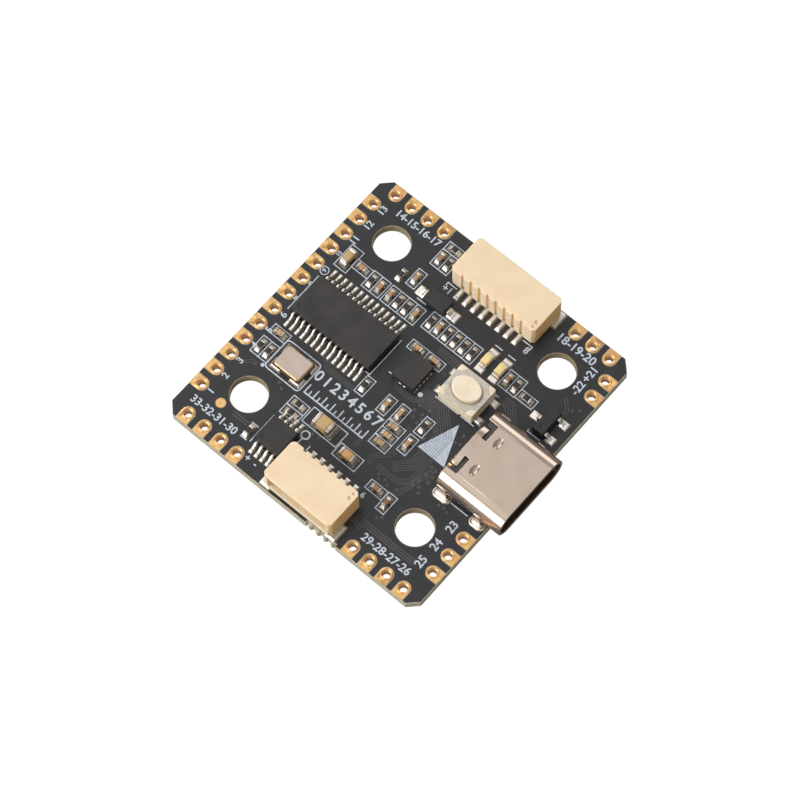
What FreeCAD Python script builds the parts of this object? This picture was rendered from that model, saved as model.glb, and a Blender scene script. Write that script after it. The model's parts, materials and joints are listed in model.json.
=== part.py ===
import FreeCAD, Part
import math
import os

# Small flight controller board for a multirotor or radio-controlled model.
# Row frame, in millimetres: the origin is the centre of the four mounting holes, on the board's
# underside. +X points to the USB socket, +Y is the flight direction, +Z is up, out of the top face.

# ---- board ----
BOARD_LEFT = -15.0
BOARD_RIGHT = 15.0
BOARD_REAR = -16.0
BOARD_FRONT = 15.0
BOARD_THICKNESS = 1.1
CORNER_CHAMFER = 1.0
MASK_THICKNESS = 0.03
MASK_PULLBACK = 0.05
MASK_GAP = 0.06
HOLE_SPACING = 20.0
HOLE_RADIUS = 1.8
HOLE_MASK_RING = 0.07
BREAKOUT_START = 2.2
BREAKOUT_END = 5.7
BREAKOUT_DEPTH = 0.25
BREAKOUT_PITCH = 0.88
BREAKOUT_NUBS = 4
NUB_RADIUS = 0.26

# ---- solder pads ----
PAD_RISE = 0.015
EDGE_PAD_PITCH = 2.0
EDGE_PAD_WIDTH = 1.3
EDGE_PAD_COPPER = 0.035
EDGE_PAD_INSET = 1.0
EDGE_PAD_END = 0.03
EDGE_HOLE_RADIUS = 0.4
EDGE_BARREL = 0.05
LEFT_PAD_START = -12.0
LEFT_PAD_COUNT = 13
FRONT_PADS_X = (-13.0, -11.0, -9.0, -7.0, 8.9, 10.9, 12.9)
REAR_PADS_X = (-13.0, -11.0, -9.0, -7.0, 6.95, 8.95, 10.95, 12.95)
RIGHT_PADS_Y = (12.1, 10.1, -8.0, -10.1, -12.2)
FIDUCIAL_RADIUS = 0.47
FIDUCIAL_AT = (-11.4, -12.3)

# ---- USB socket ----
USB_REAR = 9.1
USB_MOUTH = 16.5
USB_CENTRE_Y = -1.62
USB_WIDTH = 8.94
USB_HEIGHT = 3.18
USB_OPENING_WIDTH = 8.34
USB_OPENING_HEIGHT = 2.56
USB_CLEARANCE = 0.02
USB_BLOCK_DEPTH = 1.5
USB_LEG_OFFSET = 4.43
USB_LEG_THICKNESS = 0.25
USB_LEG_BELOW = 0.3
USB_LEGS = ((9.85, 1.1), (14.0, 0.8))
USB_SOLDER_MARGIN = 0.42
TONGUE_THICKNESS = 0.7
TONGUE_WIDTH = 6.3
TONGUE_TIP = 15.55
MID_PLATE_THICKNESS = 0.15
MID_PLATE_WIDTH = 6.69
USB_PINS = 12
USB_PIN_PITCH = 0.5
USB_PIN_WIDTH = 0.25
USB_PIN_THICKNESS = 0.06
USB_PIN_TIP = 15.2
USB_TAIL_SHEET = 0.12
USB_TAIL_WINDOW = 0.75
USB_REAR_WALL = 0.2
USB_OPENING_END = 1.17
USB_OPENING_TIP = 2.95
USB_TAB_LENGTH = 0.67
USB_TAB_ROOT = 1.13
USB_TAB_TIP = 2.35
USB_TAB_SHEET = 0.25
USB_TAB_ANGLE = 18.0
USB_TAB_SPACE = 0.6
USB_DIMPLE_X = 11.3
USB_DIMPLE_OFFSET = 1.66
USB_DIMPLE_SIZE = (0.7, 1.2)
USB_DIMPLE_DEPTH = 0.17
USB_SLOT_MARGIN = 0.5

# ---- wire sockets: 1 mm pitch, side entry ----
SOCKET_PITCH = 1.0
SOCKET_DEPTH = 4.25
SOCKET_HEIGHT = 2.9
SOCKET_WALL = 0.5
SOCKET_FLOOR = 0.45
SOCKET_ROOF = 0.5
SOCKET_BACK = 0.95
SOCKET_CHAMFER = 0.3
SOCKET_BLADE = 0.3
SOCKET_GROOVE = (0.36, 0.22)
SOCKET_MARKS = ((0.95, 0.2), (0.42, 0.14))
SOCKET_MARK_INSET = 0.42
SOCKET_MARK_DEPTH = 0.15
# outline of a contact seen from the side: distance in from the back wall, height
CONTACT_OUTLINE = (
    (-0.88, 0.0), (0.45, 0.0), (0.62, 0.12), (0.62, 1.15), (3.1, 1.15), (3.35, 1.3),
    (3.1, 1.45), (0.4, 1.45), (0.4, 0.3), (0.28, 0.17), (-0.88, 0.17),
)
# pad of a contact: middle, width and length
CONTACT_PAD = (-0.445, 0.5, 1.35)
ANCHOR_SHEET = 0.2
ANCHOR_HEIGHT = 1.5
ANCHOR_FOOT = (0.14, 3.43, 1.12, 1.55)
ANCHOR_RISER = (0.23, 3.28, 1.25)
ANCHOR_PAD = (0.1, 3.45, 1.15, 1.85)
MOTOR_SOCKET_PINS = 8
MOTOR_SOCKET_X = 1.66
MOTOR_SOCKET_BACK_Y = 10.57
SERIAL_SOCKET_PINS = 6
SERIAL_SOCKET_X = 0.93
SERIAL_SOCKET_BACK_Y = -11.45

# ---- boot button ----
BUTTON_X = 5.35
BUTTON_Y = 2.7
BUTTON_LENGTH = 4.1
BUTTON_DEPTH = 3.5
BUTTON_WALL_X = 0.15
BUTTON_WALL_Y = 0.22
BUTTON_FLOOR = 0.45
BUTTON_TOP = 1.6
BUTTON_COVER = 0.15
BUTTON_CORNER_POST = 0.75
PLUNGER_LENGTH = 3.05
PLUNGER_WIDTH = 2.35
PLUNGER_TOP = 2.1
PLUNGER_GAP = 0.1
FLANGE_LENGTH = 3.55
FLANGE_WIDTH = 2.8
FLANGE_BOTTOM = 1.15
NUB_BOTTOM = 0.78
PLUNGER_NUB_RADIUS = 0.6
DOME_RADIUS = 1.3
DOME_HEIGHT = 0.3
DOME_SHEET = 0.06
TERMINAL_OFFSET_Y = 1.1
TERMINAL_WIDTH = 0.55
TERMINAL_REACH = 0.55
TERMINAL_PAD = (0.25, 0.9)
TERMINAL_SHEET = 0.15

# ---- chips on the top face ----
# moulded bodies: length, width, standoff, height and lean of the sides
# leads: half the body, tip, height where they leave the body, width and sheet
# pads of leads: inner end, outer end and width
FINE_LEAD_PITCH = 0.65
DISPLAY_CHIP_AT = (-7.85, 0.88)
DISPLAY_CHIP_BODY = (9.7, 4.4, 0.1, 1.05, 0.1)
DISPLAY_CHIP_LEAD = (2.2, 3.2, 0.55, 0.22, 0.13)
DISPLAY_CHIP_LEADS_PER_SIDE = 14
DISPLAY_CHIP_PAD = (2.35, 3.65, 0.28)
DRIVER_CHIP_AT = (-5.17, -11.62)
DRIVER_CHIP_BODY = (3.0, 3.0, 0.1, 0.95, 0.1)
DRIVER_CHIP_LEAD = (1.5, 2.45, 0.48, 0.26, 0.13)
DRIVER_CHIP_LEADS_PER_SIDE = 4
DRIVER_CHIP_PAD = (1.55, 2.6, 0.32)
MOTION_SENSOR_AT = (0.07, 1.28)
MOTION_SENSOR_SIZE = (2.6, 3.0, 0.85)
MOTION_SENSOR_PITCH = 0.5
MOTION_SENSOR_PAD = (0.4, 0.25)
MOTION_SENSOR_SIDE_PADS = 5
MOTION_SENSOR_END_PADS = 2
CRYSTAL_AT = (-8.72, -5.25)
CRYSTAL_SIZE = (3.25, 2.5)
CRYSTAL_BASE_TOP = 0.36
CRYSTAL_RING_TOP = 0.62
CRYSTAL_LID_TOP = 0.75
CRYSTAL_RING_STEP = 0.1
CRYSTAL_RING_WIDTH = 0.35
CRYSTAL_LID_STEP = 0.14
TRANSISTOR_AT = (12.6, 5.33)
TRANSISTOR_BODY = (1.3, 2.9, 0.08, 1.0, 0.08)
TRANSISTOR_LEAD = (0.65, 1.25, 0.5, 0.4, 0.13)
TRANSISTOR_PITCH = 1.9
TRANSISTOR_PAD = (0.85, 1.7, 0.75)
DIODE_AT = (-2.7, 8.05)
DIODE_BODY = (2.6, 1.6)
DIODE_STANDOFF = 0.05
DIODE_MIDDLE = 0.5
DIODE_HEIGHT = 1.0
DIODE_LEAD = (1.3, 1.9, 0.5, 0.7, 0.14)
DIODE_PAD = (1.275, 2.425, 1.0)
LED_PLACES = ((4.43, 6.62), (6.03, 6.62))
LED_WIDTH = 0.8
LED_BASE_LENGTH = 1.0
LED_BASE_TOP = 0.25
LED_LENS_LENGTH = 1.1
LED_HEIGHT = 0.6
LED_END = 0.3

LEADLESS_STANDOFF = 0.03
MARK_DEPTH = 0.04

# ---- parts under the board ----
PROCESSOR_AT = (-1.2, -0.4)
PROCESSOR_BODY = 14.0
PROCESSOR_SPAN = 16.0
PROCESSOR_HEIGHT = 1.4
PROCESSOR_LEADS_PER_SIDE = 25
PROCESSOR_PITCH = 0.5
MEMORY_CHIP_AT = (-0.5, -12.1)
MEMORY_CHIP_SIZE = (6.0, 5.0, 0.8)
MEMORY_CHIP_PITCH = 1.27
BAROMETER_AT = (5.6, -12.3)
INDUCTOR_PLACES = ((-5.2, 11.4), (1.6, 11.4))
REGULATOR_PLACES = ((-2.0, 11.4), (4.8, 11.4))
REGULATOR_SIZE = (2.0, 3.0, 0.8)
REGULATOR_PITCH = 0.65
LEADLESS_PADS_PER_SIDE = 4
INDUCTOR_SIZE = 3.0
INDUCTOR_STANDOFF = 0.1
INDUCTOR_HEIGHT = 1.2
BAROMETER_BASE = (2.5, 2.0)
BAROMETER_BASE_TOP = 0.25
BAROMETER_HEIGHT = 0.9
BAROMETER_SHEET = 0.15
BAROMETER_VENT_RADIUS = 0.15

# ---- chip parts: length, width, height, end cap ----
SMALL_CAPACITOR = (1.0, 0.5, 0.5, 0.25)
SMALL_RESISTOR = (1.0, 0.5, 0.32, 0.22)
MEDIUM_CAPACITOR = (1.6, 0.8, 0.8, 0.35)
LARGE_CAPACITOR = (2.0, 1.25, 1.25, 0.45)
RESISTOR_COAT = 0.05
ACROSS = 0
ALONG = 90

# places of the small chip parts: x, y and the way that the part lies
SMALL_CAPACITOR_PLACES = (
    (-10.38, 6.25, ACROSS), (-7.85, 5.88, ALONG), (-6.6, 5.88, ALONG), (-3.58, 5.88, ALONG),
    (-5.88, 8.73, ALONG), (-5.5, 11.73, ALONG), (-0.98, 6.3, ALONG), (7.18, 6.43, ALONG),
    (-1.13, 3.43, ACROSS), (0.83, 3.43, ACROSS), (0.3, -2.65, ALONG), (1.85, -2.55, ALONG),
    (2.3, -3.93, ACROSS), (2.3, -4.93, ACROSS), (2.3, -5.88, ACROSS), (4.3, -4.35, ALONG),
    (-11.85, -3.63, ACROSS), (5.0, -9.48, ACROSS), (6.53, -9.9, ALONG),
)
SMALL_RESISTOR_PLACES = (
    (-8.88, 5.88, ALONG), (-5.6, 5.88, ALONG), (-4.6, 5.88, ALONG), (-7.2, 8.1, ALONG),
    (-5.0, 13.18, ACROSS), (-4.5, 11.73, ALONG), (-1.95, 6.3, ALONG), (0.0, 6.3, ALONG),
    (1.0, 6.3, ALONG), (1.98, 6.3, ALONG), (2.98, 6.3, ALONG), (8.18, 6.43, ALONG),
    (9.65, 6.03, ACROSS), (-2.45, -2.5, ALONG), (4.35, -2.08, ALONG), (-12.38, -5.68, ALONG),
    (-11.4, -5.68, ALONG), (-5.8, -7.88, ACROSS), (-5.8, -8.93, ACROSS), (-7.6, -12.7, ALONG),
)
MEDIUM_CAPACITOR_PLACES = ((0.95, -8.8, ACROSS), (-12.03, 6.22, ALONG))
LARGE_CAPACITOR_PLACES = ((-2.58, -7.93, ACROSS),)
UNDERSIDE_SMALL_PLACES = (
    (-11.2, 5.0, ACROSS), (-11.2, 3.4, ACROSS), (-11.2, 1.8, ACROSS), (-11.2, -0.4, ACROSS),
    (-11.2, -2.0, ACROSS), (-11.2, -3.6, ACROSS), (-5.4, -10.9, ALONG), (-6.6, -10.9, ALONG),
    (3.3, -10.6, ALONG), (8.0, -8.0, ACROSS), (8.0, 6.0, ACROSS),
)
UNDERSIDE_MEDIUM_PLACES = ((-2.0, 13.6, ACROSS), (4.8, 13.6, ACROSS), (-5.9, -13.4, ACROSS))

TOP_SEAT = BOARD_THICKNESS + PAD_RISE
UNDERSIDE_SEAT = -PAD_RISE
CORE_BOTTOM = MASK_THICKNESS
CORE_TOP = BOARD_THICKNESS - MASK_THICKNESS

top_pads = []
underside_pads = []
nodes = {}


def V(x, y, z=0.0):
    return FreeCAD.Vector(x, y, z)


def block(x0, x1, y0, y1, z0, z1):
    return Part.makeBox(x1 - x0, y1 - y0, z1 - z0, V(x0, y0, z0))


def centred_block(cx, cy, dx, dy, z0, z1):
    return block(cx - dx / 2, cx + dx / 2, cy - dy / 2, cy + dy / 2, z0, z1)


def cylinder(cx, cy, radius, z0, z1):
    return Part.makeCylinder(radius, z1 - z0, V(cx, cy, z0))


def prism(points, z0, z1):
    """Upright prism on a polygon of (x, y) corners."""
    corners = [V(x, y, z0) for x, y in points]
    face = Part.Face(Part.makePolygon(corners + corners[:1]))
    return face.extrude(V(0, 0, z1 - z0))


def side_profile(points, x0, x1):
    """Solid with a constant (y, z) outline, from x0 to x1."""
    corners = [V(x0, y, z) for y, z in points]
    face = Part.Face(Part.makePolygon(corners + corners[:1]))
    return face.extrude(V(x1 - x0, 0, 0))


def is_upright(edge):
    first = edge.Vertexes[0].Point
    last = edge.Vertexes[-1].Point
    return abs(first.x - last.x) < 1e-6 and abs(first.y - last.y) < 1e-6


def rounded_block(cx, cy, dx, dy, radius, z0, z1):
    """Block with rounded upright edges."""
    solid = centred_block(cx, cy, dx, dy, z0, z1)
    return solid.makeFillet(radius, [edge for edge in solid.Edges if is_upright(edge)])


def oval(cx, cy, length, width, z0, z1):
    """Upright oval with straight sides and round ends, longer along X or along Y."""
    radius = min(length, width) / 2
    return rounded_block(cx, cy, length, width, radius * 0.999, z0, z1)


def bowl(cx, cy, dx, dy, depth, top_z):
    """Lower half of an egg shape, for a smooth hollow in a flat top."""
    stretch = FreeCAD.Matrix()
    stretch.scale(dx / 2, dy / 2, depth)
    shape = Part.makeSphere(1.0).transformGeometry(stretch)
    shape.translate(V(cx, cy, top_z))
    return shape


def ellipse(cx, cy, length, width, z0, z1):
    """Upright elliptical post, longer along X."""
    curve = Part.Ellipse(V(cx, cy, z0), length / 2, width / 2)
    return Part.Face(Part.Wire([curve.toShape()])).extrude(V(0, 0, z1 - z0))


def rectangle_wire(cx, cy, dx, dy, z):
    corners = [
        V(cx - dx / 2, cy - dy / 2, z),
        V(cx + dx / 2, cy - dy / 2, z),
        V(cx + dx / 2, cy + dy / 2, z),
        V(cx - dx / 2, cy + dy / 2, z),
    ]
    return Part.makePolygon(corners + corners[:1])


def tapered_block(dx, dy, z0, z1, bottom_inset, top_inset):
    """Block at the origin whose sides lean in by one inset at the bottom and one at the top."""
    lower = rectangle_wire(0, 0, dx - 2 * bottom_inset, dy - 2 * bottom_inset, z0)
    upper = rectangle_wire(0, 0, dx - 2 * top_inset, dy - 2 * top_inset, z1)
    return Part.makeLoft([lower, upper], True, True)


def stadium_along_x(x0, x1, cy, cz, width, height):
    """Bar with flat top and bottom and half-round sides, from x0 to x1."""
    radius = height / 2
    flat = width / 2 - radius
    top_near = V(x0, cy - flat, cz + radius)
    top_far = V(x0, cy + flat, cz + radius)
    low_near = V(x0, cy - flat, cz - radius)
    low_far = V(x0, cy + flat, cz - radius)
    far_side = Part.Arc(top_far, V(x0, cy + flat + radius, cz), low_far).toShape()
    near_side = Part.Arc(low_near, V(x0, cy - flat - radius, cz), top_near).toShape()
    edges = [Part.makeLine(top_near, top_far), far_side, Part.makeLine(low_far, low_near), near_side]
    return Part.Face(Part.Wire(edges)).extrude(V(x1 - x0, 0, 0))


def turned(shape, degrees):
    copy = shape.copy()
    copy.rotate(V(0, 0), V(0, 0, 1), degrees)
    return copy


def seated(shape, x, y, degrees=0, underside=False):
    """Put a part that is built on z = 0 at the origin onto one face of the board."""
    copy = turned(shape, degrees)
    if underside:
        copy.rotate(V(0, 0), V(1, 0, 0), 180)
        copy.translate(V(x, y, UNDERSIDE_SEAT))
    else:
        copy.translate(V(x, y, TOP_SEAT))
    return copy


def add_pad(x, y, dx, dy, underside=False):
    pads = underside_pads if underside else top_pads
    pads.append((x, y, dx, dy))


def add_turned_pad(x, y, offset_x, offset_y, dx, dy, degrees, underside=False):
    """Pad at an offset from a part's centre, turned with the part by a multiple of 90 degrees."""
    angle = math.radians(degrees)
    pad_x = offset_x * math.cos(angle) - offset_y * math.sin(angle)
    pad_y = offset_x * math.sin(angle) + offset_y * math.cos(angle)
    if underside:
        pad_y = -pad_y
    if degrees % 180:
        dx, dy = dy, dx
    add_pad(x + pad_x, y + pad_y, dx, dy, underside)


def keep(name, solids):
    """Add solids to a node."""
    nodes.setdefault(name, []).extend(solids)


# ---- bare board ----

def board_outline(inset):
    left = BOARD_LEFT + inset
    right = BOARD_RIGHT - inset
    rear = BOARD_REAR + inset
    front = BOARD_FRONT - inset
    cut = CORNER_CHAMFER - inset * (2 - math.sqrt(2))
    return [
        (left + cut, rear), (right - cut, rear), (right, rear + cut), (right, front - cut),
        (right - cut, front), (left + cut, front), (left, front - cut), (left, rear + cut),
    ]


def mounting_hole_centres():
    half = HOLE_SPACING / 2
    return [(x, y) for x in (-half, half) for y in (-half, half)]


def usb_leg_places():
    """Centre and length along X of each of the USB shell's four legs."""
    places = []
    for x, length in USB_LEGS:
        for side in (-1, 1):
            places.append((x, USB_CENTRE_Y + side * USB_LEG_OFFSET, length))
    return places


def usb_leg_slot(x, y, length, z0, z1):
    return oval(x, y, length + USB_SLOT_MARGIN, USB_LEG_THICKNESS + USB_SLOT_MARGIN, z0, z1)


def edge_pad_places():
    """Centre of each wire pad's hole, with the outward direction in degrees."""
    places = []
    for index in range(LEFT_PAD_COUNT):
        places.append((BOARD_LEFT + EDGE_PAD_INSET, LEFT_PAD_START + index * EDGE_PAD_PITCH, 180))
    for x in FRONT_PADS_X:
        places.append((x, BOARD_FRONT - EDGE_PAD_INSET, 90))
    for x in REAR_PADS_X:
        places.append((x, BOARD_REAR + EDGE_PAD_INSET, 270))
    for y in RIGHT_PADS_Y:
        places.append((BOARD_RIGHT - EDGE_PAD_INSET, y, 0))
    return places


def breakout_cuts(z0, z1, extra):
    """Shallow recesses in the front and rear edges, where the board broke off its panel."""
    start = BREAKOUT_START - extra
    end = BREAKOUT_END + extra
    depth = BREAKOUT_DEPTH + extra
    rear = block(start, end, BOARD_REAR - 1, BOARD_REAR + depth, z0, z1)
    front = block(start, end, BOARD_FRONT - depth, BOARD_FRONT + 1, z0, z1)
    return [rear, front]


def breakout_nubs():
    """Rounded remains of the panel tabs inside the recesses."""
    nubs = []
    span = (BREAKOUT_NUBS - 1) * BREAKOUT_PITCH
    first = (BREAKOUT_START + BREAKOUT_END - span) / 2
    for index in range(BREAKOUT_NUBS):
        x = first + index * BREAKOUT_PITCH
        for y in (BOARD_REAR + NUB_RADIUS, BOARD_FRONT - NUB_RADIUS):
            nubs.append(cylinder(x, y, NUB_RADIUS, CORE_BOTTOM, CORE_TOP))
    return nubs


def make_laminate():
    core = prism(board_outline(0), CORE_BOTTOM, CORE_TOP)
    core = core.cut(breakout_cuts(0, BOARD_THICKNESS, 0))
    core = core.fuse(breakout_nubs()).removeSplitter()
    tools = [cylinder(x, y, HOLE_RADIUS, 0, BOARD_THICKNESS) for x, y in mounting_hole_centres()]
    for x, y, _ in edge_pad_places():
        tools.append(cylinder(x, y, EDGE_HOLE_RADIUS + EDGE_BARREL, 0, BOARD_THICKNESS))
    for x, y, length in usb_leg_places():
        tools.append(usb_leg_slot(x, y, length, 0, BOARD_THICKNESS))
    keep("board_laminate", [core.cut(tools)])


def edge_pad_plate(width, outer, z0, z1):
    """D-shaped plate round the origin: half-round towards -X, square towards +X."""
    strip = block(0, outer, -width / 2, width / 2, z0, z1)
    return strip.fuse(cylinder(0, 0, width / 2, z0, z1)).removeSplitter()


def make_edge_pads():
    outer = EDGE_PAD_INSET - EDGE_PAD_END
    upper = edge_pad_plate(EDGE_PAD_WIDTH, outer, CORE_TOP, CORE_TOP + EDGE_PAD_COPPER)
    lower = edge_pad_plate(EDGE_PAD_WIDTH, outer, CORE_BOTTOM - EDGE_PAD_COPPER, CORE_BOTTOM)
    barrel = cylinder(0, 0, EDGE_HOLE_RADIUS + EDGE_BARREL, CORE_BOTTOM, CORE_TOP)
    drill = cylinder(0, 0, EDGE_HOLE_RADIUS, -1, BOARD_THICKNESS + 1)
    pad = barrel.fuse([upper, lower]).cut(drill).removeSplitter()
    for x, y, degrees in edge_pad_places():
        copy = turned(pad, degrees)
        copy.translate(V(x, y))
        keep("edge_pads", [copy])


def edge_pad_openings(z0, z1):
    plate = edge_pad_plate(EDGE_PAD_WIDTH + 2 * MASK_GAP, EDGE_PAD_INSET, z0, z1)
    openings = []
    for x, y, degrees in edge_pad_places():
        copy = turned(plate, degrees)
        copy.translate(V(x, y))
        openings.append(copy)
    return openings


def make_mask(name, z0, z1, pads, extra_openings):
    """One solder mask skin, open over every pad and hole."""
    mask = prism(board_outline(MASK_PULLBACK), z0, z1)
    low = z0 - 1
    high = z1 + 1
    ring = HOLE_RADIUS + HOLE_MASK_RING
    tools = breakout_cuts(low, high, MASK_PULLBACK)
    tools += [cylinder(x, y, ring, low, high) for x, y in mounting_hole_centres()]
    tools += edge_pad_openings(low, high)
    tools += extra_openings
    for x, y, length in usb_leg_places():
        margin = 2 * USB_SOLDER_MARGIN + 2 * MASK_GAP
        tools.append(oval(x, y, length + margin, USB_LEG_THICKNESS + margin, low, high))
    for x, y, dx, dy in pads:
        tools.append(centred_block(x, y, dx + 2 * MASK_GAP, dy + 2 * MASK_GAP, low, high))
    keep(name, [mask.cut(tools)])


def fiducial_column(radius):
    """Short upright cylinder where the placement mark is, from the laminate to just above the mask."""
    x, y = FIDUCIAL_AT
    return cylinder(x, y, radius, CORE_TOP, TOP_SEAT)


def make_solder_pads():
    for x, y, dx, dy in top_pads:
        keep("solder_pads_top", [centred_block(x, y, dx, dy, CORE_TOP, TOP_SEAT)])
    for x, y, dx, dy in underside_pads:
        keep("solder_pads_underside", [centred_block(x, y, dx, dy, UNDERSIDE_SEAT, CORE_BOTTOM)])


# ---- USB socket ----

def usb_roof_openings(z0, z1):
    """Two openings at the rear of the shell's roof, with round inner corners."""
    openings = []
    reach = 1.0
    middle_x = USB_REAR + (USB_OPENING_END - reach) / 2
    for side in (-1, 1):
        middle_y = USB_CENTRE_Y + side * (USB_TAB_ROOT + USB_OPENING_TIP) / 2
        openings.append(rounded_block(middle_x, middle_y, USB_OPENING_END + reach,
                                      USB_OPENING_TIP - USB_TAB_ROOT, 0.12, z0, z1))
    return openings


def usb_tabs(top_z):
    """Tab in each roof opening, joined to the roof at its inner end and bent down from there."""
    tabs = []
    for side in (-1, 1):
        root = USB_CENTRE_Y + side * USB_TAB_ROOT
        tip = USB_CENTRE_Y + side * USB_TAB_TIP
        tab = block(USB_REAR, USB_REAR + USB_TAB_LENGTH, min(root, tip), max(root, tip),
                    top_z - USB_TAB_SHEET, top_z)
        tab.rotate(V(0, root, top_z), V(1, 0, 0), -side * USB_TAB_ANGLE)
        tabs.append(tab)
    return tabs


def make_usb_shell():
    base_z = BOARD_THICKNESS + USB_CLEARANCE
    centre_z = base_z + USB_HEIGHT / 2
    top_z = base_z + USB_HEIGHT
    outer = stadium_along_x(USB_REAR, USB_MOUTH, USB_CENTRE_Y, centre_z, USB_WIDTH, USB_HEIGHT)
    bore = stadium_along_x(
        USB_REAR - 1, USB_MOUTH + 1, USB_CENTRE_Y, centre_z, USB_OPENING_WIDTH, USB_OPENING_HEIGHT
    )
    shell = outer.cut(bore).cut(usb_roof_openings(centre_z, top_z + 1))
    tail_window = centred_block(USB_REAR, USB_CENTRE_Y, 2 * USB_TAIL_WINDOW, 6.2, 0, centre_z - 0.9)
    shell = shell.cut(tail_window)
    rear_wall = centred_block(USB_REAR + USB_REAR_WALL / 2, USB_CENTRE_Y, USB_REAR_WALL,
                              2 * USB_TAB_ROOT, centre_z - 0.2, top_z - 0.15)
    parts = [rear_wall] + usb_tabs(top_z)
    for x, y, length in usb_leg_places():
        leg = centred_block(x, y, length, USB_LEG_THICKNESS, -USB_LEG_BELOW, centre_z + 0.3)
        parts.append(leg)
    shell = shell.fuse(parts).removeSplitter()
    for side in (-1, 1):
        dimple_y = USB_CENTRE_Y + side * USB_DIMPLE_OFFSET
        shell = shell.cut(bowl(USB_DIMPLE_X, dimple_y, *USB_DIMPLE_SIZE, USB_DIMPLE_DEPTH, top_z))
    keep("usb_shell", shell.Solids)
    return centre_z


def usb_tab_spaces(centre_z):
    """Room in the insulator under the bent tabs."""
    spaces = []
    roof = centre_z + USB_OPENING_HEIGHT / 2
    for side in (-1, 1):
        inner = USB_CENTRE_Y + side * (USB_TAB_ROOT - 0.12)
        outer = USB_CENTRE_Y + side * (USB_TAB_TIP + 0.15)
        spaces.append(block(USB_REAR, USB_REAR + USB_TAB_LENGTH + 0.1, min(inner, outer),
                            max(inner, outer), roof - USB_TAB_SPACE, roof + 1))
    return spaces


def usb_upper_contact(y, centre_z):
    """Strip on the tongue's top that runs back, down behind the block and out to a foot."""
    top = centre_z + TONGUE_THICKNESS / 2
    rear = USB_REAR + 0.35
    foot_tip = USB_REAR - 0.75
    thick = USB_PIN_THICKNESS
    near = y - USB_PIN_WIDTH / 2
    far = y + USB_PIN_WIDTH / 2
    strip = block(rear, USB_PIN_TIP, near, far, top - thick / 2, top + thick / 2)
    drop = block(rear, rear + USB_TAIL_SHEET, near, far, TOP_SEAT, top + thick / 2)
    foot = block(foot_tip, rear + USB_TAIL_SHEET, near, far, TOP_SEAT, TOP_SEAT + USB_TAIL_SHEET)
    return strip.fuse([drop, foot]).removeSplitter()


def usb_lower_contact(y, centre_z):
    """Strip under the tongue that ends inside the insulator block."""
    low = centre_z - TONGUE_THICKNESS / 2
    thick = USB_PIN_THICKNESS
    return block(USB_REAR + 0.9, USB_PIN_TIP, y - USB_PIN_WIDTH / 2, y + USB_PIN_WIDTH / 2,
                 low - thick / 2, low + thick / 2)


def make_usb_inside(centre_z):
    contacts = []
    first = USB_CENTRE_Y - (USB_PINS - 1) * USB_PIN_PITCH / 2
    for index in range(USB_PINS):
        y = first + index * USB_PIN_PITCH
        contacts.append(usb_upper_contact(y, centre_z))
        contacts.append(usb_lower_contact(y, centre_z))
        add_pad(USB_REAR - 0.4, y, 0.8, USB_PIN_WIDTH + 0.05)
    keep("usb_contacts", contacts)
    plate = block(USB_REAR + 0.6, TONGUE_TIP - 0.1, USB_CENTRE_Y - MID_PLATE_WIDTH / 2,
                  USB_CENTRE_Y + MID_PLATE_WIDTH / 2, centre_z - MID_PLATE_THICKNESS / 2,
                  centre_z + MID_PLATE_THICKNESS / 2)
    for side in (-1, 1):
        notch_y = USB_CENTRE_Y + side * MID_PLATE_WIDTH / 2
        plate = plate.cut(centred_block(13.2, notch_y, 1.1, 0.5, 0, 9))
    keep("usb_mid_plate", [plate])
    body = stadium_along_x(USB_REAR + 0.2, USB_REAR + 0.2 + USB_BLOCK_DEPTH, USB_CENTRE_Y, centre_z,
                           USB_OPENING_WIDTH - 0.02, USB_OPENING_HEIGHT - 0.02)
    tongue = block(USB_REAR + 0.5, TONGUE_TIP, USB_CENTRE_Y - TONGUE_WIDTH / 2,
                   USB_CENTRE_Y + TONGUE_WIDTH / 2, centre_z - TONGUE_THICKNESS / 2,
                   centre_z + TONGUE_THICKNESS / 2)
    insulator = body.fuse(tongue).cut(contacts + [plate] + usb_tab_spaces(centre_z))
    keep("usb_insulator", insulator.Solids)


def make_usb_solder():
    """Solder collar round each leg, on both faces of the board and inside its slot."""
    for x, y, length in usb_leg_places():
        margin = 2 * USB_SOLDER_MARGIN
        leg = centred_block(x, y, length, USB_LEG_THICKNESS, -1, 3)
        upper = oval(x, y, length + margin, USB_LEG_THICKNESS + margin, CORE_TOP, TOP_SEAT)
        lower = oval(x, y, length + margin, USB_LEG_THICKNESS + margin, UNDERSIDE_SEAT, CORE_BOTTOM)
        fill = usb_leg_slot(x, y, length, CORE_BOTTOM, CORE_TOP)
        keep("usb_leg_solder", [fill.fuse([upper, lower]).cut(leg).removeSplitter()])


# ---- wire sockets ----

def socket_contact():
    """Blade of one contact: foot, riser inside the back wall and pin in the cavity."""
    return side_profile(list(CONTACT_OUTLINE), -SOCKET_BLADE / 2, SOCKET_BLADE / 2)


def socket_anchor(width, side):
    """Bent tab that holds one end of the housing to the board, near the mouth."""
    edge = width / 2
    inset, middle, width, length = ANCHOR_FOOT
    foot = centred_block(side * (edge - inset), middle, width, length, 0.0, ANCHOR_SHEET)
    inset, middle, length = ANCHOR_RISER
    riser = centred_block(side * (edge - inset), middle, ANCHOR_SHEET, length, ANCHOR_SHEET, ANCHOR_HEIGHT)
    return foot.fuse(riser).removeSplitter()


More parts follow.
